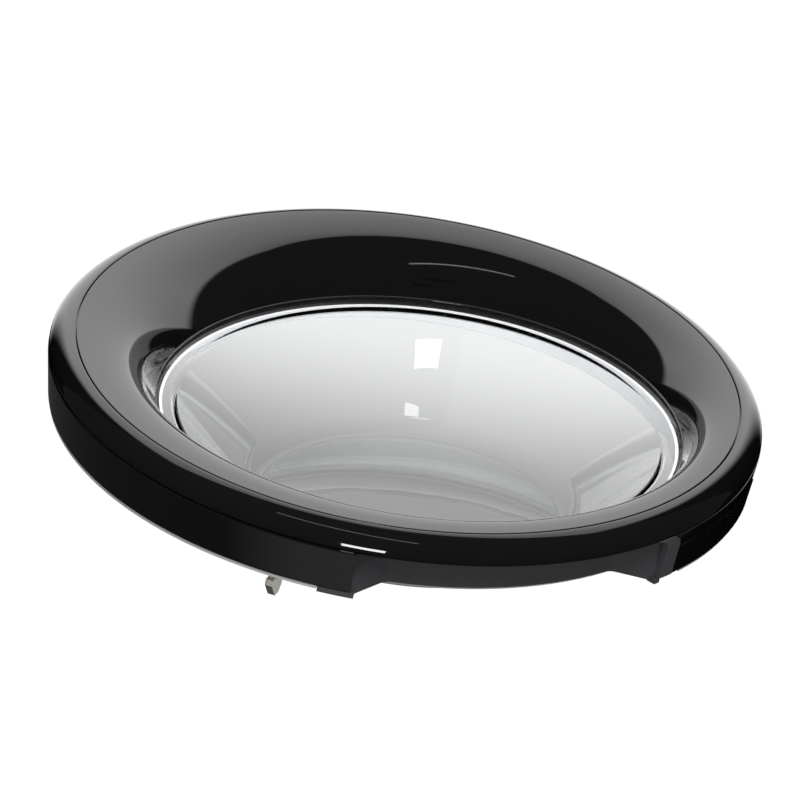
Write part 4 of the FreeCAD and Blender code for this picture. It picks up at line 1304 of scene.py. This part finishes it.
@dataclass(frozen=True)
class DoorScrews:
    """Where the door's four sets of screws sit and how large they are."""

    ring: DecorRing
    back_face: float = 1.1
    frame_length: float = 14.0
    short_length: float = 5.0
    grip_circle: float = 200.3
    grip_angles: Point = (30.5, 54.5)
    holder_places: tuple[Point, ...] = ((199.0, -11.8), (199.0, 18.2))
    arm_places: tuple[Point, ...] = ((-195.5, -26.0), (-195.5, 0.0), (-195.5, 26.0))
    arm_face: float = 8.0
    arm_length: float = 9.0
    arm_radius: float = 2.5
    arm_head_radius: float = 4.8
    arm_head_height: float = 2.4
    arm_drive_radius: float = 2.0
    arm_drive_lobe: float = 0.28

    @staticmethod
    def circle_of(radius: float, angles: Sequence[float]) -> tuple[Point, ...]:
        """Places on a circle round the ring's axis."""
        return tuple(tuple(on_ring(radius, angle, 0).xy) for angle in angles)

    def sets(self) -> tuple[SunkScrews, ...]:
        """The screws of the back frame, the finger recess, the hook and the hinge arm.

        Returns:
            The four sets, not built yet.
        """
        posts = self.circle_of(self.ring.post_circle, self.ring.post_angles)
        tabs = self.circle_of(self.grip_circle, self.grip_angles)
        back, short = self.back_face, self.short_length
        return (
            SunkScrews("back_frame_screws", "frame_screws", posts, back, self.frame_length),
            SunkScrews("grip_tab_screws", "grip_screws", tabs, back, short),
            SunkScrews("holder_screws", "hook_screws", self.holder_places, back, short),
            SunkScrews(
                "arm_screws",
                "hinge_arm_screws",
                self.arm_places,
                face=self.arm_face,
                length=self.arm_length,
                radius=self.arm_radius,
                head_radius=self.arm_head_radius,
                head_height=self.arm_head_height,
                drive_radius=self.arm_drive_radius,
                drive_lobe=self.arm_drive_lobe,
            ),
        )


# Studio


@dataclass(frozen=True)
class PhotoCamera:
    """The photograph's camera: a long lens that looks across the door's face from its right."""

    turn: float = 18.7
    lift: float = 27.62
    roll: float = 9.0
    lens: float = 1000.0
    sensor: float = 36.0
    distance: float = 14.489
    reach: float = 50.0
    aim_depth: float = 50.0
    aim_right: float = -5.633
    aim_up: float = -19.644

    def sides(self) -> tuple[Vector, Vector, Vector]:
        """The ways to the camera along the door's face, across that, and out of the face.

        Returns:
            The near, level and front way, each of length 1.
        """
        angle = math.radians(self.turn)
        near = Vector((math.cos(angle), 0, math.sin(angle)))
        return near, Vector((-near.z, 0, near.x)), Vector((0, -1, 0))

    def build(self) -> None:
        """Makes the camera and gives it to the scene."""
        near, level, front = self.sides()
        lift, roll = math.radians(self.lift), math.radians(self.roll)
        back = near * math.cos(lift) + front * math.sin(lift)
        rise = front * math.cos(lift) - near * math.sin(lift)
        right = level * math.cos(roll) + rise * math.sin(roll)
        up = rise * math.cos(roll) - level * math.sin(roll)
        aim = (front * self.aim_depth + right * self.aim_right + up * self.aim_up) * MM
        data = bpy.data.cameras.new("photo_camera")
        data.lens, data.sensor_width = self.lens, self.sensor
        data.clip_end = self.reach
        camera = bpy.data.objects.new("photo_camera", data)
        bpy.context.collection.objects.link(camera)
        axes = Matrix((right, up, back)).transposed().to_4x4()
        camera.matrix_world = Matrix.Translation(aim + back * self.distance) @ axes
        bpy.context.scene.camera = camera


def pieces_of(*slots: Slot) -> bpy.types.Collection:
    """The pieces that have the finish of one of these slots, as a group for a light.

    Args:
        *slots: The slots.

    Returns:
        The group.
    """
    group = bpy.data.collections.new("lit_" + slots[0].value)
    titles = {FINISHES[slot].title for slot in slots}
    for piece in bpy.context.scene.objects:
        if piece.type == "MESH" and titles & {slot.name for slot in piece.material_slots}:
            group.objects.link(piece)
    return group


class Board:
    """A flat glowing board in the studio that only gloss or only clear glass shows.

    The pieces of its lit slots mirror it. A board without lit slots is seen through glass.
    """

    name: str
    lit: tuple[Slot, ...]
    glow: float

    def places(self) -> list[Place]:
        """The places of the board's four corners along the camera's near, level and front way."""
        raise NotImplementedError

    def light(self, tree: Tree, camera: PhotoCamera) -> float | Socket:
        """How much light the board sends out, which is the same all over a plain board."""
        return self.glow

    def build(self, camera: PhotoCamera) -> None:
        """Stands the board in the studio.

        Args:
            camera: Gives the ways that the board stands along.
        """
        sides = Matrix(camera.sides()).transposed()
        shape = bpy.data.meshes.new(self.name)
        shape.from_pydata([sides @ Vector(p) for p in self.places()], [], [range(len(SQUARE))])
        board = bpy.data.objects.new(self.name, shape)
        bpy.context.collection.objects.link(board)
        paint = bpy.data.materials.new(self.name)
        tree = fresh_tree(paint)
        light = {"Color": WHITE, "Strength": self.light(tree, camera)}
        glow = add_node(tree, Kind.EMISSION, light)
        add_node(tree, Kind.OUTPUT, {"Surface": glow.outputs["Emission"]})
        shape.materials.append(paint)
        for ray in ("camera", "diffuse", "shadow", "volume_scatter"):
            setattr(board, "visible_" + ray, False)
        board.visible_glossy = bool(self.lit)
        board.visible_transmission = not self.lit
        if self.lit:
            board.light_linking.receiver_collection = pieces_of(*self.lit)
        board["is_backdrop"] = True


@dataclass(frozen=True)
class BrightCard(Board):
    """The tall card behind the door, whose soft edges the dish mirrors."""

    name: str = "bright_card"
    lit: tuple[Slot, ...] = (Slot.GLOSS_BLACK, Slot.ZINC, Slot.STEEL)
    place: float = -0.35
    foot: float = -0.1
    top: float = 1.35
    foot_ends: Point = (-0.38, 0.33)
    top_ends: Point = (-0.8, 0.76)
    low_glow: float = 1.55
    glow: float = 2.15
    top_share: float = 0.66
    bright_from: float = 0.06
    bright_to: float = 0.3
    fade: float = 0.06

    def places(self) -> list[Place]:
        """The places of the card's corners, past the fade of its edges.

        Returns:
            How far each is to the near, level and front way.
        """
        feet = [(self.place, end, self.foot) for end in self.foot_ends]
        heads = [(self.place, end, self.top) for end in self.top_ends]
        square = zip(feet + heads[::-1], SQUARE)
        return [(near, end + side * self.fade, up) for (near, end, up), (side, _) in square]

    def light(self, tree: Tree, camera: PhotoCamera) -> Socket:
        """The card's light: brightest a little above its foot, and faded out at its two sides.

        Args:
            tree: The nodes of its paint.
            camera: Gives the ways that its light changes along.

        Returns:
            The light.
        """
        _, level, front = camera.sides()
        point = add_node(tree, Kind.COORDINATES).outputs["Object"]
        up = add_node(tree, Kind.VECTOR_MATH, {0: point, 1: front}, operation="DOT_PRODUCT")
        height = up.outputs["Value"]
        ramps = [
            (height, range_ends(self.bright_from, self.bright_to, self.low_glow, self.glow)),
            (height, range_ends(self.bright_to, self.top, 1, self.top_share)),
        ]
        for side, foot_end, top_end in zip((-1, 1), self.foot_ends, self.top_ends):
            lean = (top_end - foot_end) / (self.top - self.foot)
            out = (level - front * lean) * side
            across = add_node(tree, Kind.VECTOR_MATH, {0: point, 1: out}, operation="DOT_PRODUCT")
            edge = (foot_end - lean * self.foot) * side
            ends = range_ends(edge + self.fade, edge - self.fade, 0, 1)
            ramps.append((across.outputs["Value"], ends))
        light = 1.0
        for value, ends in ramps:
            share = add_node(tree, Kind.RANGE, {"Value": value, **ends}, **SMOOTH).outputs[0]
            light = add_node(tree, Kind.MATH, {0: light, 1: share}, operation="MULTIPLY").outputs[0]
        return light


@dataclass(frozen=True)
class PaperWithPaintedShadow(Board):
    """The paper under the glass: white at its far side, with the door's shadow painted on it as
    grey towards its near side.
    """

    name: str = "paper_with_painted_shadow"
    lit: tuple[Slot, ...] = ()
    drop: float = 0.075
    half_size: float = 1.0
    far: float = -0.31
    near: float = -0.05
    glow: float = 0.95
    # How bright the paper is at its near side, where the door's shadow is painted.
    painted_shadow_glow: float = 0.34

    def places(self) -> list[Place]:
        """The places of the paper's corners."""
        return [(y * self.half_size, x * self.half_size, -self.drop) for x, y in SQUARE]

    def light(self, tree: Tree, camera: PhotoCamera) -> Socket:
        """The paper's light, which falls off towards the camera as a painted shadow of the door.

        Args:
            tree: The nodes of its paint.
            camera: Gives the way that its light changes along.

        Returns:
            The light.
        """
        near = camera.sides()[0]
        point = add_node(tree, Kind.COORDINATES).outputs["Object"]
        along = add_node(tree, Kind.VECTOR_MATH, {0: point, 1: near}, operation="DOT_PRODUCT")
        # The glow falls from white at the far side to grey at the near side: a painted shadow of
        # the door on the paper.
        ends = range_ends(self.far, self.near, self.glow, self.painted_shadow_glow)
        ramp = {"Value": along.outputs["Value"], **ends}
        return add_node(tree, Kind.RANGE, ramp, **SMOOTH).outputs[0]


@dataclass(frozen=True)
class PaleWall(Board):
    """The wall behind the card, which the glass mirrors."""

    name: str = "pale_wall"
    lit: tuple[Slot, ...] = (Slot.GLASS,)
    place: float = -0.8
    middle_height: float = 0.6
    half_height: float = 1.0
    half_width: float = 1.4
    glow: float = 0.8

    def places(self) -> list[Place]:
        """The places of the wall's corners."""
        width, middle, half = self.half_width, self.middle_height, self.half_height
        return [(self.place, x * width, middle + y * half) for x, y in SQUARE]


@dataclass(frozen=True)
class FacingBoard(Board):
    """A plain board that faces the door from its place to the near, level and front way."""

    name: str
    place: Place
    half_size: Point
    glow: float
    lit: tuple[Slot, ...]

    def places(self) -> list[Place]:
        """The places of the board's corners, square to the way to the door.

        Returns:
            How far each is to the near, level and front way.
        """
        middle = Vector(self.place)
        out = middle.normalized()
        across = out.cross(Vector((0, 0, 1))).normalized() * self.half_size[0]
        rise = across.cross(out).normalized() * self.half_size[1]
        return [tuple(middle + across * x + rise * y) for x, y in SQUARE]


BOARDS: tuple[Board, ...] = (
    BrightCard(),
    PaperWithPaintedShadow(),
    FacingBoard("tube", (0.467, -0.164, 1.416), (0.38, 0.012), 4.5, (Slot.GLOSS_BLACK,)),
    FacingBoard("bright_lamp", (1.455, -0.12, 0.345), (0.16, 0.14), 20.0, (Slot.GLOSS_BLACK,)),
    PaleWall(),
    FacingBoard("pale_table", (-0.7, 0.54, -0.46), (0.6, 0.5), 0.8, (Slot.ZINC, Slot.STEEL)),
    FacingBoard("high_pane", (0.149, 0.002, 0.404), (0.034, 0.010), 7.0, (Slot.GLASS,)),
    FacingBoard("low_pane", (0.177, 0.035, 0.371), (0.024, 0.009), 7.0, (Slot.GLASS,)),
)


@dataclass(frozen=True)
class SoftLamp:
    """A soft square lamp that looks at the door, by its place to the near side, top and front."""

    name: str
    place: Place
    size: float
    power: float
    lit: tuple[Slot, ...] = ()
    mirrored: bool = False

    def build(self, camera: PhotoCamera) -> bpy.types.Object:
        """Hangs the lamp, which shows in the gloss only where it is mirrored.

        Args:
            camera: Gives the ways that the lamp's place is measured along.

        Returns:
            The lamp.
        """
        near, _, front = camera.sides()
        data = bpy.data.lights.new(self.name, "AREA")
        data.size, data.energy = self.size, self.power
        lamp = bpy.data.objects.new(self.name, data)
        bpy.context.collection.objects.link(lamp)
        place = near * self.place[0] + Vector((0, 0, self.place[1])) + front * self.place[2]
        turn = place.to_track_quat("Z", "Y").to_matrix().to_4x4()
        lamp.matrix_world = Matrix.Translation(place) @ turn
        lamp.visible_camera = False
        lamp.visible_glossy = self.mirrored
        lamp.visible_transmission = False
        if self.lit:
            lamp.light_linking.receiver_collection = pieces_of(*self.lit)
        return lamp


FIXED_LAMPS = (
    SoftLamp("front_fill", (0.8, 0.0, 1.2), 0.9, 30.0),
    SoftLamp("back_fill", (0.0, 0.7, -1.4), 1.0, 14.0),
    SoftLamp("metal_fill", (1.0, 0.0, 0.2), 0.8, 24.0, (Slot.ZINC, Slot.STEEL), mirrored=True),
)
THROAT_LAMP = SoftLamp("throat_fill", (0.15, 0.0, 0.45), 0.1, 8.0, (Slot.GREY,))


@dataclass(frozen=True)
class Studio:
    """The white studio: pale floor, the glow that the gloss black mirrors, boards and lamps."""

    camera: PhotoCamera
    floor_drop_mm: float = 0.5
    floor_radius: float = 6.0
    floor_columns: int = 96
    white: float = 1.02
    dark: float = 0.05
    near_low: float = 0.32
    low_ends: Point = (-0.3, -0.55)
    table_ends: Point = (0.38, 0.72)
    mirrored_white: float = 0.45
    soft_fill: float = 0.6

    def floor(self) -> None:
        """Makes the pale floor that the door stands over."""
        draft = Draft.empty()
        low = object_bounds()[0][2] / MM - self.floor_drop_mm
        turns = [FULL_TURN * n / self.floor_columns for n in range(self.floor_columns)]
        rim = [on_ring(self.floor_radius / MM, turn, 0) for turn in turns]
        draft.cap(draft.add([(p.x, low, p.y) for p in rim]))
        floor = bpy.data.objects.new("studio_floor", draft.mesh("studio_floor"))
        bpy.context.collection.objects.link(floor)
        paint = bpy.data.materials.new("Pale floor paint")
        tree = fresh_tree(paint)
        glow = add_node(tree, Kind.EMISSION, {"Color": WHITE, "Strength": self.white})
        add_node(tree, Kind.OUTPUT, {"Surface": glow.outputs["Emission"]})
        floor.data.materials.append(paint)
        floor.visible_glossy = False
        floor.visible_diffuse = False
        floor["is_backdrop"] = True

    def glow(self) -> None:
        """Lights the room: white behind the door, and the gradient that the gloss black mirrors."""
        world = bpy.data.worlds.new("studio")
        bpy.context.scene.world = world
        tree = fresh_tree(world)
        near, _, front = self.camera.sides()
        way = add_node(tree, Kind.COORDINATES).outputs["Generated"]
        lift = add_node(tree, Kind.VECTOR_MATH, {0: way, 1: front}, operation="DOT_PRODUCT")
        close = add_node(tree, Kind.VECTOR_MATH, {0: way, 1: near}, operation="DOT_PRODUCT")
        path = add_node(tree, Kind.LIGHT_PATH).outputs
        ramps = (
            (lift.outputs["Value"], range_ends(*self.low_ends, 0, self.near_low)),
            (close.outputs["Value"], range_ends(*self.table_ends, 0, 1)),
            (path["Is Diffuse Ray"], range_ends(0, 1, 0, self.soft_fill)),
            (path["Glossy Depth"], range_ends(0, 1, self.white, self.mirrored_white)),
        )
        below, beside, soft, again = (
            add_node(tree, Kind.RANGE, {"Value": value, **ends}, **SMOOTH).outputs[0]
            for value, ends in ramps
        )
        table = {0: below, 1: beside, 2: self.dark}
        mirrored = add_node(tree, Kind.MATH, table, operation="MULTIPLY_ADD").outputs[0]
        through = {0: path["Is Camera Ray"], 1: path["Is Transmission Ray"]}
        seen = add_node(tree, Kind.MATH, through, operation="MAXIMUM").outputs[0]
        unseen = add_node(tree, Kind.MATH, {0: 1.0, 1: seen}, operation="SUBTRACT").outputs[0]
        gloss = {0: mirrored, 1: path["Is Glossy Ray"]}
        glossy = add_node(tree, Kind.MATH, gloss, operation="MULTIPLY").outputs[0]
        room = {0: glossy, 1: unseen, 2: soft}
        dim = add_node(tree, Kind.MATH, room, operation="MULTIPLY_ADD").outputs[0]
        full = {0: seen, 1: again, 2: dim}
        light = add_node(tree, Kind.MATH, full, operation="MULTIPLY_ADD").outputs[0]
        back = add_node(tree, Kind.BACKGROUND, {"Color": WHITE, "Strength": light})
        add_node(tree, Kind.WORLD_OUTPUT, {"Surface": back.outputs["Background"]})

    def build(self, bowl: bpy.types.Object) -> None:
        """Sets up the whole studio.

        Args:
            bowl: The glass, which carries the lamp that shines through it.
        """
        bpy.context.scene.view_settings.view_transform = "Standard"
        self.floor()
        self.glow()
        for fixture in BOARDS + FIXED_LAMPS:
            fixture.build(self.camera)
        throat_fill = THROAT_LAMP.build(self.camera)
        # It turns with the door, or it would shine on the back frame of an open door.
        throat_fill.parent = bowl
        throat_fill.matrix_parent_inverse = bowl.matrix_world.inverted()


def dress_cad(frame: dict[str, Any]) -> None:
    """Gives each CAD node that still shows the finish of its slot.
    """
    slots = {part["node"]: Slot(part["material_slot"]) for part in frame["record"]["subparts"]}
    for name, node in frame["nodes"].items():
        finish = FINISHES[slots[name]]
        finish.dress(node)
        log.info("%s: %s", name, finish.title)


def main() -> None:
    """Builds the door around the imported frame, piece by piece, and the studio round it."""
    logging.basicConfig(level=logging.INFO, format="%(message)s")
    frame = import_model()
    dress_cad(frame)
    front_frame = FrontFrame()
    axis = GlassAxis()
    ring = DecorRing(axis)
    pieces = [front_frame.build(), GripCheek(front_frame).build(), ring.build()]
    bowl = GlassBowl(axis).build()
    pieces += [bowl] + [screws.build() for screws in DoorScrews(ring).sets()]
    for piece in pieces:
        faces, finish = len(piece.data.polygons), piece.active_material.name
        log.info("%s: %d faces, %s", piece.name, faces, finish)
    camera = PhotoCamera()
    camera.build()
    Studio(camera).build(bowl)


if __name__ == "__main__":
    main()
